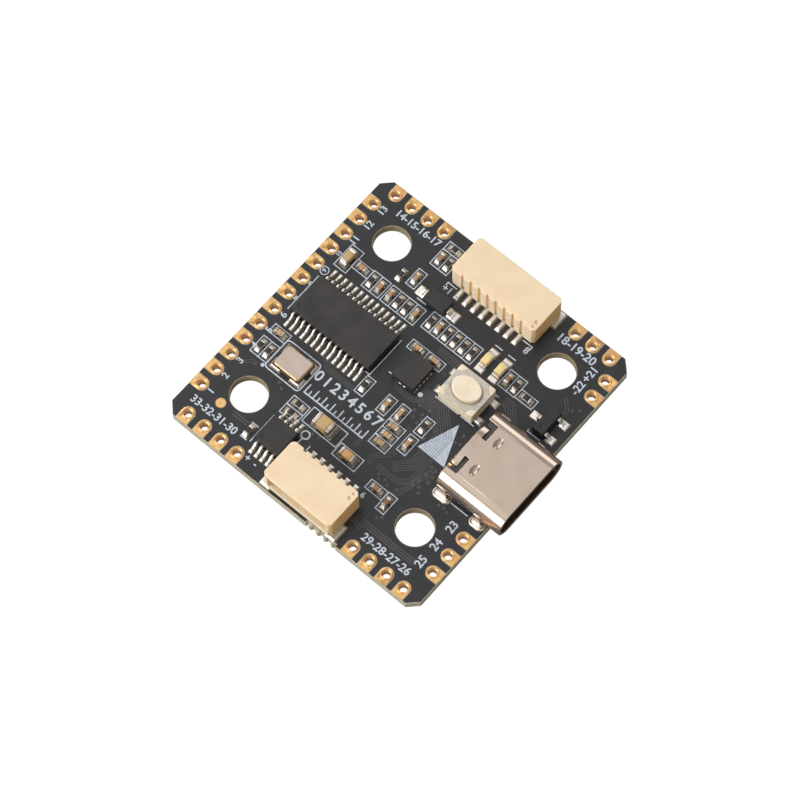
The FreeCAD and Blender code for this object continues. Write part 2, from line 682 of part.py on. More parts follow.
def socket_housing(pins, contacts, anchors, mark_side):
    width = pins * SOCKET_PITCH + 2
    half = width / 2
    cut = SOCKET_CHAMFER
    outline = [
        (-half + cut, 0), (half - cut, 0), (half, cut), (half, SOCKET_DEPTH - cut),
        (half - cut, SOCKET_DEPTH), (-half + cut, SOCKET_DEPTH), (-half, SOCKET_DEPTH - cut), (-half, cut),
    ]
    shell = prism(outline, 0.02, SOCKET_HEIGHT)
    cavity = block(-half + SOCKET_WALL, half - SOCKET_WALL, SOCKET_BACK, SOCKET_DEPTH + 1,
                   SOCKET_FLOOR, SOCKET_HEIGHT - SOCKET_ROOF)
    tools = [cavity]
    first = -(pins - 1) * SOCKET_PITCH / 2
    half_groove = SOCKET_GROOVE[0] / 2
    for index in range(pins):
        x = first + index * SOCKET_PITCH
        tools.append(block(x - half_groove, x + half_groove, -1, SOCKET_GROOVE[1], 0, SOCKET_HEIGHT + 1))
    mark_x = mark_side * (half - SOCKET_MARK_INSET)
    for y, radius in SOCKET_MARKS:
        tools.append(cylinder(mark_x, y, radius, SOCKET_HEIGHT - SOCKET_MARK_DEPTH, SOCKET_HEIGHT + 1))
    return shell.cut(tools).cut(contacts + anchors)


def make_socket(name, pins, x, back_y, degrees, mark_side):
    """Wire socket with its back wall at Y = 0 and its mouth toward +Y before it is turned."""
    pad_middle, pad_width, pad_length = CONTACT_PAD
    width = pins * SOCKET_PITCH + 2
    first = -(pins - 1) * SOCKET_PITCH / 2
    contacts = []
    for index in range(pins):
        contact = socket_contact()
        contact.translate(V(first + index * SOCKET_PITCH, 0))
        contacts.append(contact)
        add_turned_pad(x, back_y, first + index * SOCKET_PITCH, pad_middle, pad_width, pad_length, degrees)
    anchors = [socket_anchor(width, side) for side in (-1, 1)]
    for side in (-1, 1):
        inset, middle, pad_width, pad_length = ANCHOR_PAD
        add_turned_pad(x, back_y, side * (width / 2 - inset), middle, pad_width, pad_length, degrees)
    housing = socket_housing(pins, contacts, anchors, mark_side)
    keep(name + "_housing", [seated(solid, x, back_y, degrees) for solid in housing.Solids])
    keep(name + "_contacts", [seated(contact, x, back_y, degrees) for contact in contacts])
    keep(name + "_anchors", [seated(anchor, x, back_y, degrees) for anchor in anchors])


# ---- boot button ----

def button_terminals():
    """Four feet that come out of the button's ends, joined in pairs under its floor."""
    terminals = []
    half = BUTTON_LENGTH / 2
    for side in (-1, 1):
        for row in (-1, 1):
            foot = centred_block(side * (half + TERMINAL_REACH / 2 - 0.3), row * TERMINAL_OFFSET_Y,
                                 TERMINAL_REACH + 0.6, TERMINAL_WIDTH, 0.0, TERMINAL_SHEET)
            terminals.append(foot)
    return terminals


def button_base(terminals):
    outer = rounded_block(0, 0, BUTTON_LENGTH, BUTTON_DEPTH, 0.2, 0.02, BUTTON_TOP)
    cavity = rounded_block(0, 0, BUTTON_LENGTH - 2 * BUTTON_WALL_X, BUTTON_DEPTH - 2 * BUTTON_WALL_Y,
                           0.3, BUTTON_FLOOR, BUTTON_TOP + 1)
    cover_space = button_plate(0, BUTTON_TOP + 1)
    return outer.cut([cavity, cover_space] + terminals)


def button_plate(gap, top):
    """Cover sheet with quarter-round notches for the corner posts."""
    low = BUTTON_TOP - BUTTON_COVER
    plate = centred_block(0, 0, BUTTON_LENGTH, BUTTON_DEPTH, low, top)
    notches = []
    for side in (-1, 1):
        for row in (-1, 1):
            corner_x = side * BUTTON_LENGTH / 2
            corner_y = row * BUTTON_DEPTH / 2
            notches.append(cylinder(corner_x, corner_y, BUTTON_CORNER_POST + gap, low - 1, top + 1))
    return plate.cut(notches)


def corner_post_fill():
    """Solid corners of the base, clear of the plunger's flange."""
    posts = []
    low = BUTTON_FLOOR
    for side in (-1, 1):
        for row in (-1, 1):
            corner_x = side * BUTTON_LENGTH / 2
            corner_y = row * BUTTON_DEPTH / 2
            posts.append(cylinder(corner_x, corner_y, BUTTON_CORNER_POST, low, BUTTON_TOP))
    outer = rounded_block(0, 0, BUTTON_LENGTH, BUTTON_DEPTH, 0.2, low, BUTTON_TOP)
    return [post.common(outer) for post in posts]


def button_plunger():
    cap = ellipse(0, 0, PLUNGER_LENGTH, PLUNGER_WIDTH, FLANGE_BOTTOM, PLUNGER_TOP)
    cap = cap.makeFillet(0.12, [edge for edge in cap.Edges if edge.BoundBox.ZMin > PLUNGER_TOP - 0.01])
    flange = ellipse(0, 0, FLANGE_LENGTH, FLANGE_WIDTH, FLANGE_BOTTOM, BUTTON_TOP - BUTTON_COVER - 0.04)
    nub = cylinder(0, 0, PLUNGER_NUB_RADIUS, NUB_BOTTOM, FLANGE_BOTTOM)
    return cap.fuse([flange, nub]).removeSplitter()


def button_dome():
    """Thin round snap dome, a slice of a ball shell, standing on the floor of the base."""
    ball_radius = (DOME_RADIUS ** 2 + DOME_HEIGHT ** 2) / (2 * DOME_HEIGHT)
    centre_z = BUTTON_FLOOR + DOME_HEIGHT - ball_radius
    outer = Part.makeSphere(ball_radius, V(0, 0, centre_z))
    inner = Part.makeSphere(ball_radius - DOME_SHEET, V(0, 0, centre_z))
    window = cylinder(0, 0, DOME_RADIUS - 0.01, BUTTON_FLOOR + 0.005, BUTTON_FLOOR + 1)
    return outer.cut(inner).common(window)


def make_button():
    terminals = button_terminals()
    base = button_base(terminals).fuse(corner_post_fill()).removeSplitter()
    hole = ellipse(0, 0, PLUNGER_LENGTH + 2 * PLUNGER_GAP, PLUNGER_WIDTH + 2 * PLUNGER_GAP,
                   0, BUTTON_TOP + 1)
    cover = button_plate(0.0, BUTTON_TOP).cut(hole)
    pieces = {
        "boot_button_base": base.Solids,
        "boot_button_terminals": terminals,
        "boot_button_cover": cover.Solids,
        "boot_button_plunger": [button_plunger()],
        "boot_button_dome": button_dome().Solids,
    }
    for name, solids in pieces.items():
        keep(name, [seated(solid, BUTTON_X, BUTTON_Y) for solid in solids])
    for side in (-1, 1):
        for row in (-1, 1):
            add_pad(BUTTON_X + side * (BUTTON_LENGTH / 2 + TERMINAL_PAD[0]),
                    BUTTON_Y + row * TERMINAL_OFFSET_Y, TERMINAL_PAD[1], TERMINAL_WIDTH + 0.15)


# ---- chips ----

def moulded_body(dx, dy, standoff, height, lean):
    """Moulded package with a parting line at mid height and a round mark in one corner."""
    middle = standoff + (height - standoff) / 2
    lower = tapered_block(dx, dy, standoff, middle, lean, 0)
    upper = tapered_block(dx, dy, middle, height, 0, lean)
    mark = cylinder(-dx / 2 + 0.75, -dy / 2 + 0.75, 0.28, height - MARK_DEPTH, height + 1)
    return lower.fuse(upper).cut(mark)


def gull_lead(body_half, tip, exit_z, width, sheet):
    """Bent lead that leaves a body towards +Y and stands on z = 0."""
    reach = tip - body_half
    knee = body_half + 0.3 * reach
    heel = body_half + 0.52 * reach
    outline = [
        (body_half - 0.12, exit_z + sheet / 2), (knee, exit_z + sheet / 2),
        (heel + sheet, sheet), (tip, sheet), (tip, 0.0), (heel, 0.0),
        (knee - sheet, exit_z - sheet / 2), (body_half - 0.12, exit_z - sheet / 2),
    ]
    return side_profile(outline, -width / 2, width / 2)


def lead_row(lead, count, pitch, degrees):
    """Leads in a row along X, then turned about the chip's centre."""
    first = -(count - 1) * pitch / 2
    leads = []
    for index in range(count):
        copy = lead.copy()
        copy.translate(V(first + index * pitch, 0))
        leads.append(turned(copy, degrees))
    return leads


def add_lead_pads(x, y, count, pitch, pad, degrees, underside=False):
    inner, outer, width = pad
    first = -(count - 1) * pitch / 2
    middle = (inner + outer) / 2
    for index in range(count):
        offset = first + index * pitch
        add_turned_pad(x, y, offset, middle, width, outer - inner, degrees, underside)


def make_two_row_chip(name, place, body_size, lead_size, leads_per_side, pad):
    """Moulded chip with a row of bent leads on each of its long sides."""
    x, y = place
    lead = gull_lead(*lead_size)
    leads = []
    for degrees in (0, 180):
        leads += lead_row(lead, leads_per_side, FINE_LEAD_PITCH, degrees)
        add_lead_pads(x, y, leads_per_side, FINE_LEAD_PITCH, pad, degrees)
    body = moulded_body(*body_size).cut(leads)
    keep(name + "_body", [seated(body, x, y)])
    keep(name + "_leads", [seated(lead, x, y) for lead in leads])


def make_motion_sensor():
    """Flat chip with metal pads under all four of its edges."""
    x, y = MOTION_SENSOR_AT
    dx, dy, height = MOTION_SENSOR_SIZE
    body = centred_block(0, 0, dx, dy, LEADLESS_STANDOFF, height)
    mark = cylinder(dx / 2 - 0.45, -dy / 2 + 0.45, 0.16, height - MARK_DEPTH, height + 1)
    keep("motion_sensor_body", [seated(body.cut(mark), x, y)])
    length, width = MOTION_SENSOR_PAD
    rows = ((dx, MOTION_SENSOR_SIDE_PADS, 0), (dy, MOTION_SENSOR_END_PADS, 90),
            (dx, MOTION_SENSOR_SIDE_PADS, 180), (dy, MOTION_SENSOR_END_PADS, 270))
    for span, count, degrees in rows:
        for index in range(count):
            offset = (index - (count - 1) / 2) * MOTION_SENSOR_PITCH
            pad = centred_block(span / 2 - length / 2, offset, length, width, 0.0, LEADLESS_STANDOFF)
            keep("motion_sensor_pads", [seated(pad, x, y, degrees)])
            add_turned_pad(x, y, span / 2 - 0.17, offset, length + 0.04, width + 0.03, degrees)


def make_crystal():
    """Ceramic base, metal ring that stands on it, and flat lid that seals the ring."""
    x, y = CRYSTAL_AT
    dx, dy = CRYSTAL_SIZE
    outer = 2 * CRYSTAL_RING_STEP
    inner = outer + 2 * CRYSTAL_RING_WIDTH
    step = 2 * CRYSTAL_LID_STEP
    base = rounded_block(0, 0, dx, dy, 0.15, LEADLESS_STANDOFF, CRYSTAL_BASE_TOP)
    ring = rounded_block(0, 0, dx - outer, dy - outer, 0.3, CRYSTAL_BASE_TOP, CRYSTAL_RING_TOP)
    ring = ring.cut(rounded_block(0, 0, dx - inner, dy - inner, 0.15, 0, 1))
    lid = rounded_block(0, 0, dx - step, dy - step, 0.28, CRYSTAL_RING_TOP, CRYSTAL_LID_TOP)
    top_edges = [edge for edge in lid.Edges if edge.BoundBox.ZMin > CRYSTAL_LID_TOP - 0.01]
    lid = lid.makeFillet(0.06, top_edges)
    keep("crystal_base", [seated(base, x, y)])
    keep("crystal_seal_ring", [seated(ring, x, y)])
    keep("crystal_lid", [seated(lid, x, y)])
    for side in (-1, 1):
        for row in (-1, 1):
            contact = centred_block(side * 1.12, row * 0.85, 1.0, 0.8, 0.0, LEADLESS_STANDOFF)
            keep("crystal_contacts", [seated(contact, x, y)])
            add_pad(x + side * 1.2, y + row * 0.9, 1.25, 1.0)


def make_transistor():
    """Small moulded body with one lead on its -X side and two on its +X side."""
    x, y = TRANSISTOR_AT
    lead = gull_lead(*TRANSISTOR_LEAD)
    leads = []
    for count, degrees in ((1, 90), (2, 270)):
        leads += lead_row(lead, count, TRANSISTOR_PITCH, degrees)
        add_lead_pads(x, y, count, TRANSISTOR_PITCH, TRANSISTOR_PAD, degrees)
    body = moulded_body(*TRANSISTOR_BODY).cut(leads)
    keep("transistor_body", [seated(body, x, y)])
    keep("transistor_leads", [seated(lead, x, y) for lead in leads])


def make_diode():
    x, y = DIODE_AT
    dx, dy = DIODE_BODY
    lead = gull_lead(*DIODE_LEAD)
    leads = []
    for degrees in (90, 270):
        leads += lead_row(lead, 1, 0, degrees)
        add_lead_pads(x, y, 1, 0, DIODE_PAD, degrees)
    lower = tapered_block(dx, dy, DIODE_STANDOFF, DIODE_MIDDLE, 0.08, 0)
    upper = tapered_block(dx, dy, DIODE_MIDDLE, DIODE_HEIGHT, 0, 0.08)
    keep("diode_body", [seated(lower.fuse(upper).cut(leads), x, y)])
    keep("diode_leads", [seated(lead, x, y) for lead in leads])


def make_leds():
    """Side-by-side status lights, each a base with two wrapped ends and a clear lens."""
    end_offset = (LED_BASE_LENGTH + LED_END) / 2
    for x, y in LED_PLACES:
        base = centred_block(0, 0, LED_WIDTH, LED_BASE_LENGTH, 0.0, LED_BASE_TOP)
        lens = tapered_block(LED_WIDTH, LED_LENS_LENGTH, LED_BASE_TOP, LED_HEIGHT, 0, 0.04)
        keep("led_bases", [seated(base, x, y)])
        keep("led_lenses", [seated(lens, x, y)])
        for side in (-1, 1):
            end = centred_block(0, side * end_offset, LED_WIDTH, LED_END, 0.0, LED_BASE_TOP)
            keep("led_ends", [seated(end, x, y)])
            add_pad(x, y + side * 0.98, LED_WIDTH + 0.1, 0.75)


# ---- chip parts ----

def chip_ends(length, width, height, cap):
    ends = []
    for side in (-1, 1):
        ends.append(centred_block(side * (length - cap) / 2, 0, cap, width, 0.0, height))
    return ends


def chip_core(length, width, height, cap):
    return centred_block(0, 0, length - 2 * cap, width - 0.04, 0.02, height - 0.02)


def make_capacitors(name, size, places, underside=False):
    length, width, height, cap = size
    for x, y, degrees in places:
        core = chip_core(length, width, height, cap)
        keep(name + "_bodies", [seated(core, x, y, degrees, underside)])
        for end in chip_ends(length, width, height, cap):
            keep(name + "_ends", [seated(end, x, y, degrees, underside)])
        add_chip_pads(x, y, length, width, cap, degrees, underside)


def make_resistors(places):
    length, width, height, cap = SMALL_RESISTOR
    for x, y, degrees in places:
        core = centred_block(0, 0, length - 2 * cap, width - 0.02, 0.02, height - RESISTOR_COAT)
        coat = centred_block(0, 0, length - 2 * cap, width - 0.02, height - RESISTOR_COAT, height)
        keep("resistor_substrates", [seated(core, x, y, degrees)])
        keep("resistor_coats", [seated(coat, x, y, degrees)])
        for end in chip_ends(length, width, height - 0.01, cap):
            keep("resistor_ends", [seated(end, x, y, degrees)])
        add_chip_pads(x, y, length, width, cap, degrees, False)


def add_chip_pads(x, y, length, width, cap, degrees, underside):
    pad_length = cap + 0.25
    offset = length / 2 - cap / 2 + 0.09
    for side in (-1, 1):
        add_turned_pad(x, y, side * offset, 0, pad_length, width + 0.06, degrees, underside)


# ---- parts under the board ----

def make_processor():
    x, y = PROCESSOR_AT
    half = PROCESSOR_BODY / 2
    tip = PROCESSOR_SPAN / 2
    pad = (tip - 0.65, tip + 0.25, 0.3)
    lead = gull_lead(half, tip, 0.75, 0.22, 0.13)
    leads = []
    for degrees in (0, 90, 180, 270):
        leads += lead_row(lead, PROCESSOR_LEADS_PER_SIDE, PROCESSOR_PITCH, degrees)
        add_lead_pads(x, y, PROCESSOR_LEADS_PER_SIDE, PROCESSOR_PITCH, pad, degrees, True)
    body = moulded_body(PROCESSOR_BODY, PROCESSOR_BODY, 0.08, PROCESSOR_HEIGHT, 0.12).cut(leads)
    keep("processor_body", [seated(body, x, y, 0, True)])
    keep("processor_leads", [seated(lead, x, y, 0, True) for lead in leads])


def make_leadless_chip(name, places, size, pitch):
    """Flat chip with metal pads under two of its edges."""
    dx, dy, height = size
    for x, y in places:
        body = centred_block(0, 0, dx, dy, LEADLESS_STANDOFF, height)
        mark = cylinder(-dx / 2 + 0.5, -dy / 2 + 0.5, 0.15, height - MARK_DEPTH, height + 1)
        keep(name + "_body", [seated(body.cut(mark), x, y, 0, True)])
        for side in (-1, 1):
            for index in range(LEADLESS_PADS_PER_SIDE):
                offset = (index - (LEADLESS_PADS_PER_SIDE - 1) / 2) * pitch
                pad = centred_block(side * (dx / 2 - 0.25), offset, 0.5, pitch * 0.45, 0.0,
                                    LEADLESS_STANDOFF)
                keep(name + "_pads", [seated(pad, x, y, 0, True)])
                add_turned_pad(x, y, side * (dx / 2 - 0.1), offset, 0.8, pitch * 0.5, 0, True)


def make_barometer():
    """Small board with a metal cap over it. The cap has a vent hole."""
    x, y = BAROMETER_AT
    dx, dy = BAROMETER_BASE
    sheet = 2 * BAROMETER_SHEET
    base = centred_block(0, 0, dx, dy, 0.0, BAROMETER_BASE_TOP)
    cap = rounded_block(0, 0, dx - 0.1, dy - 0.1, 0.25, BAROMETER_BASE_TOP, BAROMETER_HEIGHT)
    hollow = rounded_block(0, 0, dx - 0.1 - sheet, dy - 0.1 - sheet, 0.15, BAROMETER_BASE_TOP,
                           BAROMETER_HEIGHT - BAROMETER_SHEET)
    vent = cylinder(-0.7, 0.45, BAROMETER_VENT_RADIUS, 0.5, 1.5)
    keep("barometer_base", [seated(base, x, y, 0, True)])
    keep("barometer_lid", [seated(cap.cut([hollow, vent]), x, y, 0, True)])
    for side in (-1, 1):
        add_pad(x + side * 1.1, y, 0.6, 1.7, True)


def make_inductors():
    """Square shielded coils, each on two flat terminals."""
    for x, y in INDUCTOR_PLACES:
        core = rounded_block(0, 0, INDUCTOR_SIZE, INDUCTOR_SIZE, 0.35, INDUCTOR_STANDOFF, INDUCTOR_HEIGHT)
        keep("inductor_bodies", [seated(core, x, y, 0, True)])
        for side in (-1, 1):
            end = centred_block(side * 1.1, 0, 0.8, 2.6, 0.0, INDUCTOR_STANDOFF)
            keep("inductor_ends", [seated(end, x, y, 0, True)])
            add_pad(x + side * 1.15, y, 1.1, 2.8, True)


def write_nodes():
    os.makedirs("parts", exist_ok=True)
    for name, solids in nodes.items():
        for solid in solids:
            if not solid.isValid() or solid.Volume <= 0:
                raise ValueError("bad solid in " + name)
        shape = solids[0] if len(solids) == 1 else Part.makeCompound(solids)
        shape.exportStep("parts/" + name + ".step")
        print(name, len(solids), round(sum(solid.Volume for solid in solids), 3))
    print(len(nodes), "nodes")


def build():
    centre_z = make_usb_shell()
    make_usb_inside(centre_z)
    make_usb_solder()
    make_socket("motor_socket", MOTOR_SOCKET_PINS, MOTOR_SOCKET_X, MOTOR_SOCKET_BACK_Y, 0, 1)
    make_socket("serial_socket", SERIAL_SOCKET_PINS, SERIAL_SOCKET_X, SERIAL_SOCKET_BACK_Y, 180, -1)
    make_button()
    make_two_row_chip("display_chip", DISPLAY_CHIP_AT, DISPLAY_CHIP_BODY, DISPLAY_CHIP_LEAD,
                      DISPLAY_CHIP_LEADS_PER_SIDE, DISPLAY_CHIP_PAD)
    make_two_row_chip("driver_chip", DRIVER_CHIP_AT, DRIVER_CHIP_BODY, DRIVER_CHIP_LEAD,
                      DRIVER_CHIP_LEADS_PER_SIDE, DRIVER_CHIP_PAD)
    make_motion_sensor()
    make_crystal()
    make_transistor()
    make_diode()
    make_leds()
    make_capacitors("small_capacitor", SMALL_CAPACITOR, SMALL_CAPACITOR_PLACES)
    make_capacitors("large_capacitor", MEDIUM_CAPACITOR, MEDIUM_CAPACITOR_PLACES)
    make_capacitors("large_capacitor", LARGE_CAPACITOR, LARGE_CAPACITOR_PLACES)
    make_resistors(SMALL_RESISTOR_PLACES)
    make_processor()
    make_leadless_chip("memory_chip", [MEMORY_CHIP_AT], MEMORY_CHIP_SIZE, MEMORY_CHIP_PITCH)
    make_leadless_chip("regulator", REGULATOR_PLACES, REGULATOR_SIZE, REGULATOR_PITCH)
    make_barometer()
    make_inductors()
    make_capacitors("underside_capacitor", SMALL_CAPACITOR, UNDERSIDE_SMALL_PLACES, True)
    make_capacitors("underside_capacitor", MEDIUM_CAPACITOR, UNDERSIDE_MEDIUM_PLACES, True)
    make_laminate()
    make_edge_pads()
    fiducial_opening = fiducial_column(FIDUCIAL_RADIUS + MASK_GAP)
    make_mask("solder_mask_top", CORE_TOP, BOARD_THICKNESS, top_pads, [fiducial_opening])
    make_mask("solder_mask_underside", 0.0, CORE_BOTTOM, underside_pads, [])
    keep("fiducial_disc", [fiducial_column(FIDUCIAL_RADIUS)])
    make_solder_pads()
    write_nodes()


build()
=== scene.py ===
import itertools
import json
import math
import random

import bmesh
import bpy
from mathutils import Matrix, Vector


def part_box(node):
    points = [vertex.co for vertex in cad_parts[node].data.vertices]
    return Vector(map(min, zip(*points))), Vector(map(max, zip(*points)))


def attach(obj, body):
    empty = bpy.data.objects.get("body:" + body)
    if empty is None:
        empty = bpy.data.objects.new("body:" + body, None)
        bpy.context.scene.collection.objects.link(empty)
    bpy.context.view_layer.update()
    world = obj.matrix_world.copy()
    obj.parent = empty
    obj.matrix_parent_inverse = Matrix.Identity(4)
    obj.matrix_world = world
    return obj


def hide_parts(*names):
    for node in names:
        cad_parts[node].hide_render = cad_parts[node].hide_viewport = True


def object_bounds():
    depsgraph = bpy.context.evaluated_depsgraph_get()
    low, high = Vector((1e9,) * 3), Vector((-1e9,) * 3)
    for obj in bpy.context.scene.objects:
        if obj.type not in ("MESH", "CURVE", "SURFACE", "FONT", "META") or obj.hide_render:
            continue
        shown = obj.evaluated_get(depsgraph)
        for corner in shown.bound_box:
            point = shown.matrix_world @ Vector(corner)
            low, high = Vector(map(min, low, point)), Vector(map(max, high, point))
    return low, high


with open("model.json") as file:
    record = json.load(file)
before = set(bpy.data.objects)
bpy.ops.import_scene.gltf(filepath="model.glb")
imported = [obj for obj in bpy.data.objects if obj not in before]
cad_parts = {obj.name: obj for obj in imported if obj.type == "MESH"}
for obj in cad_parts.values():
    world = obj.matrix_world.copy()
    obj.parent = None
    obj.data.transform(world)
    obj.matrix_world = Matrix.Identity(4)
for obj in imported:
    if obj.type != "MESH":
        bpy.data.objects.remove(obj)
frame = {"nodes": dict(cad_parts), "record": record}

# Looks of a small flight controller board. All sizes and places are in millimetres, in the CAD
# frame, and each piece is scaled to metres when it is made. Colours are display values, 0 to 255.
MM = 0.001
CAD_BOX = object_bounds()
NODES = frame["nodes"]
LINES_PRINTED = itertools.count()
BOARD = "board"

# ---- levels of the printed layers ----
MASK_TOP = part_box("solder_mask_top")[1].z / MM
MASK_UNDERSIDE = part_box("solder_mask_underside")[0].z / MM
BOARD_MIDDLE = (MASK_TOP + MASK_UNDERSIDE) / 2
SUNK = 0.004            # how far a printed line's foot reaches into the mask
TRACE_RISE = 0.010
INK_RISE = 0.020
HAIR = 0.0003           # each printed line stands this much higher than the last, so crossings stay clean
HAIR_CYCLE = 40
INK_WIDTH = 0.115
INK_LINE_WIDTH = 0.13
CAP_HEIGHT_SHARE = 0.73     # height of a capital over the font's own size
STROKE_SWELL = 0.028        # how much bolder the print is than the font, over its cap height

# ---- camera ----
VIEW_AZIMUTH = 43.226
VIEW_ELEVATION = 67.529
VIEW_ROLL = -2.653
VIEW_DISTANCE = 275.64
VIEW_TARGET = (0.896, -1.482)
LENS = 135.86

# ---- floor and light ----
# softboxes: direction from the board, distance, width, height and radiance
# surroundings: height on the unit sphere, display colour
FLOOR_GAP = 0.01
FLOOR_HALF = 3000.0
FLOOR_GLOW = 1.0
FLOOR_COLOUR = (0.1, 0.1, 0.1, 1)
SOFTBOXES = {
    "key_softbox": ((-0.42, -0.78, 0.5), 420, 320, 320, 4.3),
    "overhead_panel": ((-0.3, -0.02, 1.0), 522, 430, 260, 0.6),
    "front_softbox": ((-0.2, 0.87, 0.5), 520, 300, 250, 1.6),
    "corner_softbox": ((-0.75, 0.35, 0.6), 520, 200, 200, 3.0),
}
BRIGHT_SIDE = (-0.42, -0.78)
SIDE_STRENGTH = (0.42, 0.95)
SURROUNDINGS = (
    (-1.0, (148, 144, 140)), (-0.4, (160, 156, 152)), (-0.14, (206, 200, 196)), (-0.05, (200, 195, 192)),
    (-0.01, (128, 124, 122)), (0.03, (128, 124, 122)), (0.08, (222, 219, 217)), (1.0, (245, 243, 242)),
)

# ---- silkscreen on the top face: boxes are low x, low y, high x, high y ----
CELL_LONG = 1.95
CELL_SHORT = 1.0
UNBOXED_PARTS = ((-7.2, 8.1), (-7.6, -12.7))
WIDE_BOXES = (
    (-4.6, -8.8, -0.55, -7.05),
    (-0.4, -9.5, 2.3, -8.1),
    (-12.75, 4.9, -11.3, 7.55),
)
UNBOXED_WITHIN = 0.3
CRYSTAL_FRAME = (-10.85, -6.95, -6.75, -3.55)
CRYSTAL_FRAME_CORNER = 0.35
CRYSTAL_FRAME_WIDTH = 0.14
INK_LINES = (
    ((-13.0, 3.1), (-13.0, -1.3)),
    ((-2.87, 3.1), (-2.87, -1.38), (-3.4, -1.38)),
    ((-1.7, 0.0), (-0.95, 0.0)),
    ((0.6, -0.03), (1.45, -0.03)),
    ((-6.85, -10.0), (-6.85, -13.4)),
    ((-3.42, -10.05), (-3.45, -11.0)),
    ((-7.95, -11.85), (-7.15, -11.85)),
    ((-7.95, -13.5), (-7.15, -13.5)),
    ((11.7, 3.95), (11.7, 3.7), (13.2, 3.7)),
    ((-4.6, 7.3), (-3.5, 7.3)),
    ((-1.9, 7.35), (-0.95, 7.35)),
    ((4.0, 8.35), (4.9, 8.35)),
    ((5.55, 8.35), (6.45, 8.35)),
    ((3.1, 0.9), (5.9, 0.9)),
    ((6.15, 0.9), (7.7, 0.9)),
    ((3.1, 4.55), (7.6, 4.55)),
    ((10.95, -6.1), (12.9, -6.1)),
    ((-3.4, 10.0), (-3.4, 10.35), (-2.3, 10.35)),
    ((6.75, 10.0), (6.75, 10.35), (5.6, 10.35)),
)
INK_RINGS = ((-12.95, 3.85, 0.42, 0.11), (-3.4, -9.65, 0.4, 0.17))
INK_DOTS = ((-11.0, -7.0, 0.2), (1.97, 0.12, 0.25))
DIRECTION_MARK = ((6.6, 0.15), (8.25, -3.9), (5.1, -3.9))
MARK_RIDGE_RISE = 0.004
MARK_RIDGE_WIDTH_SHARE = 0.6

# ---- printed numbers: text, centre, cap height, turn in degrees ----
LABELS_TOP = (
    ("14-15-16-17", -9.15, 12.75, 0.78, 0),
    ("18-19-20", 9.95, 12.8, 0.88, 0),
    ("+21", 12.55, 11.7, 0.8, 90),
    ("-22", 12.55, 9.95, 0.8, 90),
    ("23", 12.55, -7.8, 0.85, 90),
    ("24", 12.55, -10.0, 0.85, 90),
    ("25", 12.55, -12.1, 0.85, 90),
    ("29-28-27-26", 9.7, -13.62, 0.82, 0),
    ("33-32-31-30", -11.1, -13.58, 0.8, 0),
    ("+  -", -5.5, -14.75, 0.7, 0),
    ("+1", -3.0, 9.72, 0.72, 0),
    ("8", 6.55, 9.72, 0.72, 0),
    ("1", -2.35, -10.55, 0.62, 0),
    ("6", 4.4, -10.7, 0.62, 0),
)
LEFT_PADS_BEFORE = -13.5
LEFT_LABEL_X = -12.86
LEFT_LABEL_HEIGHT = 0.72
LEFT_LABEL_CHANGES = {9: (-12.95, 3.85, 0.46), 10: (-13.05, 6.0, 0.42)}
RULE_START = -6.3
RULE_MARKS = 8
RULE_NUMBER_Y = -4.5
RULE_NUMBER_HEIGHT = 1.12
RULE_BASE_Y = -6.55
RULE_LONG_TICK = 0.95
RULE_SHORT_TICK = 0.5
RULE_TICK_WIDTH = 0.15
RULE_BASE_WIDTH = 0.16
RULE_OVERHANG = 0.08

# ---- copper lines under the mask: route of the outer line, lines, pitch, width ----
BUNDLES_TOP = (
    (((1.9, 0.95), (4.62, 0.95), (7.05, -1.48), (7.05, -6.9), (6.05, -7.9), (3.5, -7.9)), 3, -0.22, 0.11),
    (((1.9, 0.29), (4.35, 0.29), (6.39, -1.75), (6.39, -5.75), (4.95, -7.19)), 5, -0.22, 0.11),
    (((-1.15, 0.15), (-0.1, -0.9), (1.9, -0.9), (2.65, -0.15)), 3, 0.2, 0.1),
    (((8.15, 5.0), (9.1, 5.0), (10.9, 3.2)), 5, -0.22, 0.11),
    (((0.3, 4.9), (3.1, 4.9)), 4, -0.22, 0.11),
    (((5.9, -12.35), (12.1, -12.35)), 3, -0.25, 0.12),
    (((-9.9, -12.1), (-8.1, -12.1)), 2, -0.3, 0.14),
    (((-7.3, -2.75), (-6.25, -3.6), (-3.1, -3.6)), 3, 0.2, 0.1),
    (((7.6, -4.4), (7.6, -5.6), (8.1, -6.1)), 2, 0.24, 0.1),
    (((4.8, -12.9), (5.6, -12.9), (6.4, -13.1)), 2, -0.24, 0.11),
    (((-12.9, -8.4), (-11.9, -7.4), (-11.4, -7.4)), 2, 0.24, 0.11),
    (((12.2, 8.4), (13.1, 7.5), (13.1, 6.9)), 2, 0.26, 0.12),
    (((3.1, -2.8), (3.1, -3.3), (3.6, -3.8), (3.6, -5.9), (2.4, -7.1), (2.4, -8.0)), 3, 0.22, 0.1),
    (((-5.7, -3.0), (-5.1, -2.4), (-3.6, -2.4)), 2, 0.22, 0.1),
    (((7.9, -4.9), (6.9, -8.6), (6.0, -9.6), (4.7, -9.6)), 3, -0.22, 0.1),
    (((-0.6, -5.6), (0.6, -6.8), (0.6, -7.6)), 2, 0.22, 0.1),
    (((2.6, 3.0), (1.9, 3.7), (-0.6, 3.7), (-1.4, 2.9)), 2, 0.22, 0.1),
)
